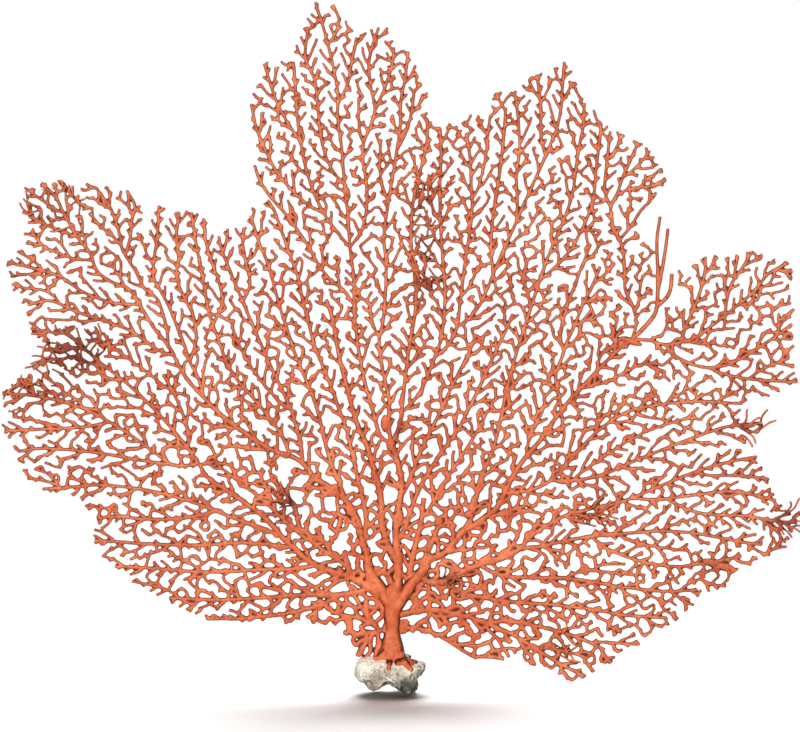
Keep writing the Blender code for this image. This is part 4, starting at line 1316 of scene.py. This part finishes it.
@dataclass(frozen=True)
class StoneFinish:
    """The stone's chalky cream, with grey-brown pits, painted grey-brown shade over its lower part and
    painted dark green shade in its hollow.
    """

    cream: Colour = (0.97, 0.92, 0.77, 1.0)
    sand: Colour = (0.42, 0.33, 0.26, 1.0)
    pits: Colour = (0.075, 0.045, 0.030, 1.0)
    # Painted shade in the hollow, dark green
    hollow_shade: Colour = (0.060, 0.075, 0.060, 1.0)
    roughness: float = 0.9
    specular: float = 0.2
    broad: Speckle = Speckle(120.0, 4.0, 0.62, 0.3, 0.40, 0.66)
    spots: Speckle = Speckle(760.0, 4.0, 0.72, 0.6, 0.52, 0.64)
    streaks: Speckle = Speckle(420.0, 3.0, 0.7, 1.2, 0.46, 0.60)
    low: tuple[Place, Place] = ((-0.0065, -0.012, 0.0055), (0.015, 0.026, 0.0115))
    hollow: tuple[Place, Place] = ((0.0026, -0.014, 0.0042), (0.0100, 0.022, 0.0078))
    ridge: tuple[Place, Place] = ((0.0105, -0.008, 0.0085), (0.0062, 0.030, 0.0150))
    broad_share: float = 0.22
    # Painted shade: the first share darkens the lower part, the last the hollow
    low_shade_share: float = 0.9
    pitted_everywhere: float = 0.30
    crack_share: float = 0.85
    hollow_shade_share: float = 0.92
    coarse_bump: Point = (0.9 * MM, 0.7)
    fine_bump: Point = (0.25 * MM, 0.5)

    def build(self) -> bpy.types.Material:
        """Make the material."""
        nodes = Nodes("chalky_stone")
        broad = nodes.speckle(self.broad)
        low = nodes.near(*self.low)
        # Painted shade: grey-brown over the stone's lower part, broken up by noise
        low_shade = nodes.maths("MULTIPLY", nodes.ramp(low, 0.0, 0.45), nodes.ramp(broad, -0.4, 0.8))
        pitted = nodes.maths("ADD", nodes.ramp(low, 0.0, 0.3), self.pitted_everywhere)
        pitted = nodes.maths("MULTIPLY", nodes.speckle(self.spots), pitted)
        ridge = nodes.ramp(nodes.near(*self.ridge), 0.05, 0.5)
        cracked = nodes.maths("MULTIPLY", nodes.speckle(self.streaks), ridge)
        # Painted shade: dark green in the hollow at the front
        hollow = nodes.ramp(nodes.near(*self.hollow), 0.05, 0.6)
        shade = nodes.maths("MULTIPLY", hollow, nodes.ramp(broad, -0.9, 0.5))
        colour = nodes.mix(nodes.maths("MULTIPLY", broad, self.broad_share), self.cream, self.sand)
        colour = nodes.tint(colour, low_shade, self.low_shade_share, self.sand)
        colour = nodes.mix(nodes.maths("MINIMUM", pitted, 1.0), colour, self.pits)
        colour = nodes.tint(colour, cracked, self.crack_share, self.pits)
        colour = nodes.tint(colour, shade, self.hollow_shade_share, self.hollow_shade)
        coarse = nodes.bump(nodes.noise(520.0, 5.0, 0.7, 0.4), *self.coarse_bump)
        fine = nodes.bump(nodes.cells(1500.0), *self.fine_bump, coarse)
        return nodes.finish(colour, self.roughness, self.specular, fine)


@dataclass(frozen=True)
class StageFinish:
    """The plain pale floor."""

    colour: Colour = (0.93, 0.93, 0.93, 1.0)
    roughness: float = 0.9

    def build(self) -> bpy.types.Material:
        """Make the material."""
        return Nodes("pale_floor").finish(self.colour, self.roughness, 0.0)


HUBS = {
    "trunk": [Lump((391, 655), (14, 8.0), 5.6 * MM), Lump((403, 661), (9, 3.5), 5.0 * MM, 0.25),
              Lump((385, 600), (6.5, 24), 4.9 * MM, 0.46), Lump((402, 601), (6.5, 24), 4.9 * MM, -0.50),
              Lump((393.5, 606), (9.0, 20), 4.7 * MM), Lump((392.5, 625), (7.6, 22), 4.7 * MM)],
    "centre_limb": [Lump((393, 600), (11, 15), 5.0 * MM), Lump((391, 446), (5, 8), 1.9 * MM),
                    Lump((398, 560), (6, 12), 2.6 * MM), Lump((399, 520), (5, 12), 2.3 * MM)],
    "left_limb": [Lump((382, 594), (7.0, 22), 4.5 * MM, 0.50), Lump((371, 577), (6, 17), 3.4 * MM, 0.40),
                  Lump((314, 480), (9, 4.5), 1.5 * MM, 0.7), Lump((350, 513), (5, 9), 1.9 * MM, 0.7),
                  Lump((332, 492), (9, 5), 1.7 * MM, 0.7)],
    "right_limb": [Lump((405, 596), (7.0, 21), 4.5 * MM, -0.56), Lump((419, 578), (6, 17), 3.6 * MM, -0.72),
                   Lump((441, 585), (15, 3.8), 2.4 * MM, -0.05), Lump((463, 534), (7, 4.5), 2.0 * MM, 0.6)],
    "right_long_limb": [Lump((470, 517), (6, 5), 1.7 * MM), Lump((502, 503), (6, 4), 1.5 * MM),
                        Lump((621, 344), (6, 4.5), 1.6 * MM), Lump((631, 341), (12, 3.5), 1.5 * MM, -0.35)],
    "inner_limb": [Lump((385, 425), (4.5, 9), 1.5 * MM)],
    "low_right_limb": [Lump((450, 552), (7, 5), 2.4 * MM), Lump((522, 550), (6, 4), 1.9 * MM)],
    "low_middle_limb": [Lump((719, 565), (19, 5.0), 0.9 * MM, -0.28)],
}

# Spots where the crust's colour is darkened: middle, radius in pixels, how strongly
DARK_SPOTS = [
    ((75, 350), 30, 0.80), ((40, 392), 20, 0.35), ((52, 210), 26, 0.25), ((560, 650), 12, 0.4),
    ((288, 505), 12, 0.8), ((425, 205), 14, 0.6), ((428, 245), 14, 0.6), ((428, 285), 14, 0.5),
    ((783, 517), 13, 0.7), ((745, 425), 9, 0.4), ((450, 583), 8, 0.6), ((397, 432), 7, 0.7),
    ((428, 579), 5, 0.7), ((715, 570), 12, 0.35), ((595, 513), 9, 0.35),
]


@dataclass
class FanLimb:
    """One limb of the fan with all its ribs and twigs."""

    name: str
    outlook: Outlook
    sheet: Sheet
    thickness: Thickness
    crown: Point
    step: float
    voxel: float = 0.52 * MM
    kept_faces: float = 0.50
    smoothing: float = 0.5
    roundness: int = 1
    every: int = 2
    # How the painted shade at a branch's edge starts, spreads and fades where a point stands proud of the
    # sheet
    rim_from: float = 0.38
    rim_span: float = 0.52
    stout_rim: float = 0.90 * MM
    proud_from: float = 2.0 * MM
    proud_span: float = 0.8 * MM
    lift_length: float = 3.5 * MM
    tip_curl: float = 0.16
    most_curl: float = 1.4 * MM
    branches: list[Branch] = field(default_factory=list)

    def place(self, branch: Branch, i: int) -> Place:
        """A point of a branch in space; free tips curl a little out of the sheet."""
        x, z = branch.path[i]
        y = self.sheet.depth(x, z)
        if branch.lift:
            rise = min(1.0, i * self.step / self.lift_length)
            y += branch.lift * rise * rise * (3.0 - 2.0 * rise)
        elif branch.kind is Kind.TWIG and not branch.joined:
            part = i / (len(branch.path) - 1)
            curl = min(self.most_curl, self.tip_curl * len(branch.path) * self.step)
            y += branch.side * curl * part * part
        return x, y, z

    def tubes(self) -> Piece:
        """Make one tube for each branch, all in one mesh."""
        strands = []
        for branch in self.branches:
            numbers = list(range(0, len(branch.path), self.every))
            if numbers[-1] != len(branch.path) - 1:
                numbers.append(len(branch.path) - 1)
            strands.append([(self.place(branch, i), self.thickness.at(branch, i, self.crown, self.step))
                            for i in numbers])
        return make_tubes(self.name, strands, self.roundness)

    def size(self, lump: Lump) -> Point:
        """A lump's half width and half height in metres."""
        return lump.size_px[0] * self.outlook.pixel, lump.size_px[1] * self.outlook.pixel

    def add_lump(self, lump: Lump) -> Piece:
        """Make the rounded mass where branches have grown together."""
        x, z = self.outlook.front(lump.place_px)
        y = self.sheet.depth(x, z)
        deselect()
        bpy.ops.mesh.primitive_uv_sphere_add(segments=24, ring_count=16, radius=1.0, location=(x, y, z))
        ball = bpy.context.view_layer.objects.active
        wide, tall = self.size(lump)
        ball.scale = (wide, lump.depth, tall)
        ball.rotation_euler = (0.0, -lump.turn, 0.0)
        settle(ball)
        return ball

    def build(self, finish: bpy.types.Material) -> Piece:
        """Make the limb: tubes and lumps grown into one skin.

        Args:
            finish: The coral's material.

        Returns:
            The finished piece.
        """
        limb = self.tubes()
        limb.name = f"{self.name}_coral"
        extras = [self.add_lump(lump) for lump in HUBS.get(self.name, [])]
        extras += self.more_parts()
        if extras:
            deselect()
            for extra in extras:
                extra.select_set(True)
            limb.select_set(True)
            bpy.context.view_layer.objects.active = limb
            bpy.ops.object.join()
        apply_modifier(limb, "REMESH", mode="VOXEL", voxel_size=self.voxel)
        apply_modifier(limb, "SMOOTH", factor=self.smoothing, iterations=1)
        apply_modifier(limb, "DECIMATE", ratio=self.kept_faces)
        coat(limb, finish)
        self.mark(limb)
        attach(limb, "root")
        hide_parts(self.name)
        return limb

    def more_parts(self) -> list[Piece]:
        """Parts beyond tubes and lumps; a plain limb has none."""
        return []

    def mark(self, limb: Piece) -> None:
        """Note on each point how much its colour is darkened near the listed spots, and how much painted
        shade it gets near its branch's edge.
        """
        places = read_vectors(limb.data.vertices, "co")
        age = np.zeros(len(places))
        for place_px, radius_px, strength in DARK_SPOTS:
            x, z = self.outlook.front(place_px)
            away = np.hypot(places[:, 0] - x, places[:, 2] - z) / (radius_px * self.outlook.pixel)
            age = np.maximum(age, strength * np.exp(-away ** 2))
        # The rim values are painted shade along each branch's edge
        for name, values in (("age", age), ("rim_shade", self.rim_shade(places))):
            layer = limb.data.attributes.new(name, "FLOAT", "POINT")
            layer.data.foreach_set("value", values)

    def rim_shade(self, places: np.ndarray) -> np.ndarray:
        """How much painted shade each point gets near the edge of its branch, seen from the front.

        Args:
            places: The points.

        Returns:
            0 along the middle of a branch and where a point stands proud of the sheet, 1 at
            its edge.
        """
        spots = [(*branch.path[i], self.thickness.at(branch, i, self.crown, self.step))
                 for branch in self.branches for i in range(len(branch.path))]
        for lump in HUBS.get(self.name, []):
            spots.extend(self.lump_spots(lump))
        tree = KDTree(len(spots))
        for k, (x, z, _) in enumerate(spots):
            tree.insert((x, 0.0, z), k)
        tree.balance()
        rims = np.zeros(len(places))
        for k, (x, y, z) in enumerate(places):
            _, near, away = tree.find((x, 0.0, z))
            radius = spots[near][2]
            start = 1.0 - (1.0 - self.rim_from) * min(1.0, self.stout_rim / radius)
            proud = (abs(y - self.sheet.depth(x, z)) - self.proud_from) / self.proud_span
            share = 1.0 - min(1.0, max(0.0, proud))
            rims[k] = share * (away / radius - start) / (1.0 - start) / self.rim_span
        return np.clip(rims, 0.0, 1.0)

    def lump_spots(self, lump: Lump) -> list[Place]:
        """Places along a lump's length with its half thickness, like a branch's."""
        x, z = self.outlook.front(lump.place_px)
        wide, tall = self.size(lump)
        along = (math.cos(lump.turn), math.sin(lump.turn))
        if tall > wide:
            along = (-along[1], along[0])
        thin, span = min(wide, tall), abs(wide - tall)
        return [(x + along[0] * span * part, z + along[1] * span * part, thin)
                for part in np.linspace(-1.0, 1.0, 9)]


@dataclass
class Trunk(FanLimb):
    """The trunk, whose foot spreads over the stone."""

    roundness: int = 5
    drip_roundness: int = 2
    drip_pitch: float = 0.8 * MM
    foot_front: float = 4.6 * MM
    spread_rate: float = 2.2
    sunk: float = 0.5 * MM
    before: float = 0.1
    stone: Piece | None = None
    drips: tuple = (
        ([(393, 648), (399, 657), (408, 663), (416, 665)], 7.0, 4.0),
        ([(394, 648), (400, 659), (407, 666), (412, 670.5)], 7.0, 3.2),
        ([(392, 648), (390, 658), (389, 666), (388.5, 671)], 7.0, 1.8),
        ([(391, 648), (385, 656), (378, 660), (373, 660)], 6.5, 3.0),
        ([(393, 648), (396, 658), (400, 666)], 8.0, 4.0),
    )

    def more_parts(self) -> list[Piece]:
        """The crust that has run down over the stone from the trunk's foot."""
        tree = BVHTree.FromObject(self.stone, bpy.context.evaluated_depsgraph_get())
        parts = []
        for places, wide_px, thin_px in self.drips:
            path = Net.even_path([self.outlook.front(place) for place in places], self.drip_pitch)
            strand = []
            for k, (x, z) in enumerate(path):
                part = k / (len(path) - 1)
                hit = tree.ray_cast(Vector((x, -self.before, z)), Vector((0.0, 1.0, 0.0)))[0]
                y = self.sheet.depth(x, z) - self.foot_front * min(1.0, self.spread_rate * part)
                if hit is not None:
                    y = min(y, hit.y + self.sunk)
                radius = (wide_px + (thin_px - wide_px) * part) * self.outlook.pixel
                strand.append(((x, y, z), radius))
            parts.append(make_tubes("drip", [strand], self.drip_roundness))
        return parts


@dataclass
class Stone:
    """The loose pitted stone that the fan grew on."""

    outlook: Outlook
    half_depth: float = 20.5 * MM
    middle_depth: float = 1.5 * MM
    slices: int = 25
    around: int = 120
    fullness: float = 2.6
    anchor_px: Point = (388.5, 677)
    ring_pitch: float = 0.05 * MM
    top_slope: float = 0.62
    top_height: float = 19 * MM
    top_power: float = 1.5
    voxel: float = 0.35 * MM
    smoothing: float = 0.4
    foot_height: float = 1.5 * MM
    facing: float = 0.15
    lump_scale: float = 190.0
    lump_mm: float = 0.9
    dent_scale: float = 330.0
    dent_mm: float = 0.75
    pit_scale: float = 360.0
    pit_sharpness: float = 2.6
    pit_mm: float = 0.9
    patch_scale: float = 60.0
    patch_from: float = -0.1
    swell_mm: float = 0.35
    hollows: tuple = (
        ((399, 684), 8.0, 3.4 * MM), ((378, 677), 7.0, 1.6 * MM), ((413, 676), 3.0, 1.2 * MM),
        ((369, 683), 4.0, 0.9 * MM), ((391, 670), 4.0, 0.7 * MM),
    )
    outline_px: tuple = (
        (357.0, 662.5), (365, 660), (377, 658.7), (386, 660), (395, 661), (404, 662), (413, 664),
        (419, 665.2), (424.5, 667.2), (422.5, 672.5), (419, 677.5), (417.3, 683), (416.6, 690),
        (414.3, 695.5), (409, 696.6), (404.5, 692.5), (399, 690), (394, 686.6), (387.5, 684.6),
        (381, 686), (376, 689.5), (372.5, 691.5), (368.5, 688), (363, 682.5), (357.2, 680.2),
        (356, 671.5),
    )

    def build(self, finish: bpy.types.Material) -> Piece:
        """Loft the stone from its outline and roughen it.

        Args:
            finish: The stone's material.

        Returns:
            The finished piece.
        """
        closed = list(self.outline_px) + [self.outline_px[0]]
        ring = Net.even_path([self.outlook.front(place) for place in closed], self.ring_pitch)
        ring = ring[np.linspace(0, len(ring) - 1, self.around, endpoint=False).astype(int)]
        anchor = np.array(self.outlook.front(self.anchor_px))
        points = []
        for k in range(self.slices):
            angle = math.pi * (k + 0.5) / self.slices
            y = -math.cos(angle)
            scale = (1.0 - abs(y) ** self.fullness) ** (1.0 / self.fullness)
            for x, z in anchor + (ring - anchor) * scale:
                height = min(1.0, max(0.0, z / self.top_height))
                slope = 1.0 - self.top_slope * height ** self.top_power
                points.append((x, self.middle_depth + y * self.half_depth * slope, z))
        mesh = bpy.data.meshes.new("stone_piece")
        mesh.from_pydata(points, [], self.skin())
        stone = hang("pitted_stone", mesh)
        make_active(stone)
        bpy.ops.object.mode_set(mode="EDIT")
        bpy.ops.mesh.select_all(action="SELECT")
        bpy.ops.mesh.normals_make_consistent(inside=False)
        bpy.ops.object.mode_set(mode="OBJECT")
        apply_modifier(stone, "REMESH", mode="VOXEL", voxel_size=self.voxel)
        self.roughen(stone)
        apply_modifier(stone, "SMOOTH", factor=self.smoothing, iterations=1)
        coat(stone, finish)
        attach(stone, "root")
        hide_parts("stone")
        return stone

    def skin(self) -> list[tuple[int, ...]]:
        """The faces between the stone's slices and over its two ends."""
        faces = []
        for k in range(self.slices - 1):
            for j in range(self.around):
                ahead = (j + 1) % self.around
                faces.append((k * self.around + j, k * self.around + ahead,
                              (k + 1) * self.around + ahead, (k + 1) * self.around + j))
        faces.append(tuple(range(self.around))[::-1])
        faces.append(tuple((self.slices - 1) * self.around + j for j in range(self.around)))
        return faces

    def roughen(self, stone: Piece) -> None:
        """Press lumps, pits and hollows into the stone's skin."""
        mesh = stone.data
        places = read_vectors(mesh.vertices, "co")
        normals = read_vectors(mesh.vertex_normals, "vector")
        heights = np.array([self.height(Vector(place)) for place in places])
        low = places[:, 2] < self.foot_height
        heights[low] = np.minimum(heights[low], 0.0)
        front = normals[:, 1] < -self.facing
        for place_px, radius_px, depth in self.hollows:
            x, z = self.outlook.front(place_px)
            away = np.hypot(places[:, 0] - x, places[:, 2] - z) / (radius_px * self.outlook.pixel)
            heights[front] -= depth * np.exp(-away[front] ** 2)
        places += normals * heights[:, None]
        places[:, 2] = np.maximum(places[:, 2], 0.0)
        mesh.vertices.foreach_set("co", places.ravel())
        mesh.update()

    def height(self, place: Vector) -> float:
        """How far the skin stands out at a point: lumps, dents and pits.

        Args:
            place: The point.

        Returns:
            The height in metres.
        """
        lumps = noise.noise(place * self.lump_scale) * self.lump_mm * MM
        dents = noise.turbulence(place * self.dent_scale, 3, False) * self.dent_mm * MM
        pits = max(0.0, 1.0 - noise.voronoi(place * self.pit_scale)[0][0] * self.pit_sharpness)
        if noise.noise(place * self.patch_scale) < self.patch_from:
            pits = 0.0
        return lumps - dents - self.pit_mm * MM * pits + self.swell_mm * MM


@dataclass
class Studio:
    """The floor, the lights and the camera."""

    outlook: Outlook
    elevation: float = math.radians(4.0)
    distance: float = 2.4
    sensor: float = 36.0
    floor_radius: float = 0.7
    aim: Place = (0.0, 0.0, 0.15)
    front_light: tuple[Place, float, float] = ((-0.45, -2.3, 0.85), 0.45, 62.0)
    back_light: tuple[Place, float, float] = ((0.5, 2.3, 0.9), 0.6, 40.0)
    sun_tilt: float = math.radians(43.5)
    sun_width: float = math.radians(35.0)
    sun_power: float = 4.6
    dimness: float = 0.16
    white: Colour = (1.0, 1.0, 1.0, 1.0)
    shading: tuple = ("pitted_stone", "trunk_coral", "centre_limb_coral", "left_limb_coral",
                      "right_limb_coral", "peak_root_limb_coral", "low_right_limb_coral",
                      "left_low_limb_coral")

    def build(self) -> None:
        """Set the stage: two soft lights for the fan, and one for the floor and its shadow."""
        floor = self.set_floor()
        for name, light in (("front_light", self.front_light), ("back_light", self.back_light)):
            linking = self.set_light(name, *light).light_linking
            linking.receiver_collection = self.group("unlit_floor", [floor])
            for kept_off in linking.receiver_collection.collection_objects:
                kept_off.light_linking.link_state = "EXCLUDE"
        linking = self.set_sun().light_linking
        linking.receiver_collection = self.group("lit_floor", [floor])
        stem = [piece for piece in bpy.data.objects if piece.name in self.shading]
        linking.blocker_collection = self.group("shading_stem", stem)
        self.set_world()
        self.set_camera()
        bpy.context.scene.view_settings.view_transform = "Standard"

    def group(self, name: str, pieces: list[Piece]) -> bpy.types.Collection:
        """Gather pieces for a light to shine on or be held off by."""
        pack = bpy.data.collections.new(name)
        for piece in pieces:
            pack.objects.link(piece)
        return pack

    def set_floor(self) -> Piece:
        """A round floor, which the white surroundings take over from."""
        deselect()
        bpy.ops.mesh.primitive_circle_add(vertices=96, radius=self.floor_radius, fill_type="NGON")
        floor = bpy.context.view_layer.objects.active
        floor.name = "pale_floor"
        settle(floor)
        floor.data.materials.append(StageFinish().build())
        floor.visible_diffuse = False
        return floor

    def set_light(self, name: str, place: Place, size: float, power: float) -> Piece:
        """Put up a soft square light that faces the fan.

        Args:
            name: Its name.
            place: Where it hangs.
            size: Its side.
            power: Its power in watts.

        Returns:
            The light.
        """
        data = bpy.data.lights.new(name, "AREA")
        data.size = size
        data.energy = power
        light = hang(name, data)
        light.location = place
        light.rotation_euler = (Vector(self.aim) - Vector(place)).to_track_quat("-Z", "Y").to_euler()
        return light

    def set_sun(self) -> Piece:
        """Put up even light that comes from behind and above, wide enough for soft shadows."""
        data = bpy.data.lights.new("floor_light", "SUN")
        data.angle = self.sun_width
        data.energy = self.sun_power
        light = hang("floor_light", data)
        light.rotation_euler = (-self.sun_tilt, 0.0, 0.0)
        return light

    def set_world(self) -> None:
        """White surroundings that light the fan only dimly."""
        world = bpy.data.worlds.new("studio")
        world.use_nodes = True
        tree = world.node_tree
        dim = tree.nodes["Background"]
        bright = tree.nodes.new("ShaderNodeBackground")
        for background, strength in ((dim, self.dimness), (bright, 1.0)):
            background.inputs["Color"].default_value = self.white
            background.inputs["Strength"].default_value = strength
        seen = tree.nodes.new("ShaderNodeLightPath")
        both = tree.nodes.new("ShaderNodeMixShader")
        tree.links.new(seen.outputs["Is Camera Ray"], both.inputs["Fac"])
        tree.links.new(dim.outputs["Background"], both.inputs[1])
        tree.links.new(bright.outputs["Background"], both.inputs[2])
        tree.links.new(both.outputs["Shader"], tree.nodes["World Output"].inputs["Surface"])
        bpy.context.scene.world = world

    def set_camera(self) -> None:
        """A long lens that frames the fan as the photograph does."""
        wide, tall = self.outlook.frame_px
        x, z = self.outlook.front((wide / 2, tall / 2))
        data = bpy.data.cameras.new("camera")
        data.sensor_width = self.sensor
        data.lens = self.sensor * self.distance / (wide * self.outlook.pixel)
        camera = hang("camera", data)
        away = Vector((0.0, -math.cos(self.elevation), math.sin(self.elevation)))
        camera.location = Vector((x, 0.0, z)) + away * self.distance
        camera.rotation_euler = (math.pi / 2 - self.elevation, 0.0, 0.0)
        bpy.context.scene.camera = camera


def main() -> None:
    """Grow the fan, dress it and set the studio."""
    logging.basicConfig(level=logging.INFO, format="%(message)s")
    outlook = Outlook()
    net = Net(outlook, RIBS, EDGE_PX)
    branches = net.grow()
    rng = random.Random(TANGLE_SEED)
    for tangle in TANGLES:
        branches.extend(tangle.grow(net, rng))
    LOG.info("net: %d branches, %.1f m", len(branches), sum(len(b.path) for b in branches) * net.step)
    crust = CoralFinish().build()
    stone = Stone(outlook).build(StoneFinish().build())
    LOG.info("%s: %d points", stone.name, len(stone.data.vertices))
    total = 0
    for name in RIBS:
        kind = Trunk if name == "trunk" else FanLimb
        limb = kind(name, outlook, Sheet(), Thickness(), net.crown, net.step)
        limb.branches = [branch for branch in branches if branch.limb == name]
        if isinstance(limb, Trunk):
            limb.stone = stone
        piece = limb.build(crust)
        faces = len(piece.data.polygons)
        total += faces
        LOG.info("%s: %d faces", piece.name, faces)
    LOG.info("all coral: %d faces", total)
    Studio(outlook).build()


if __name__ == "__main__":
    main()
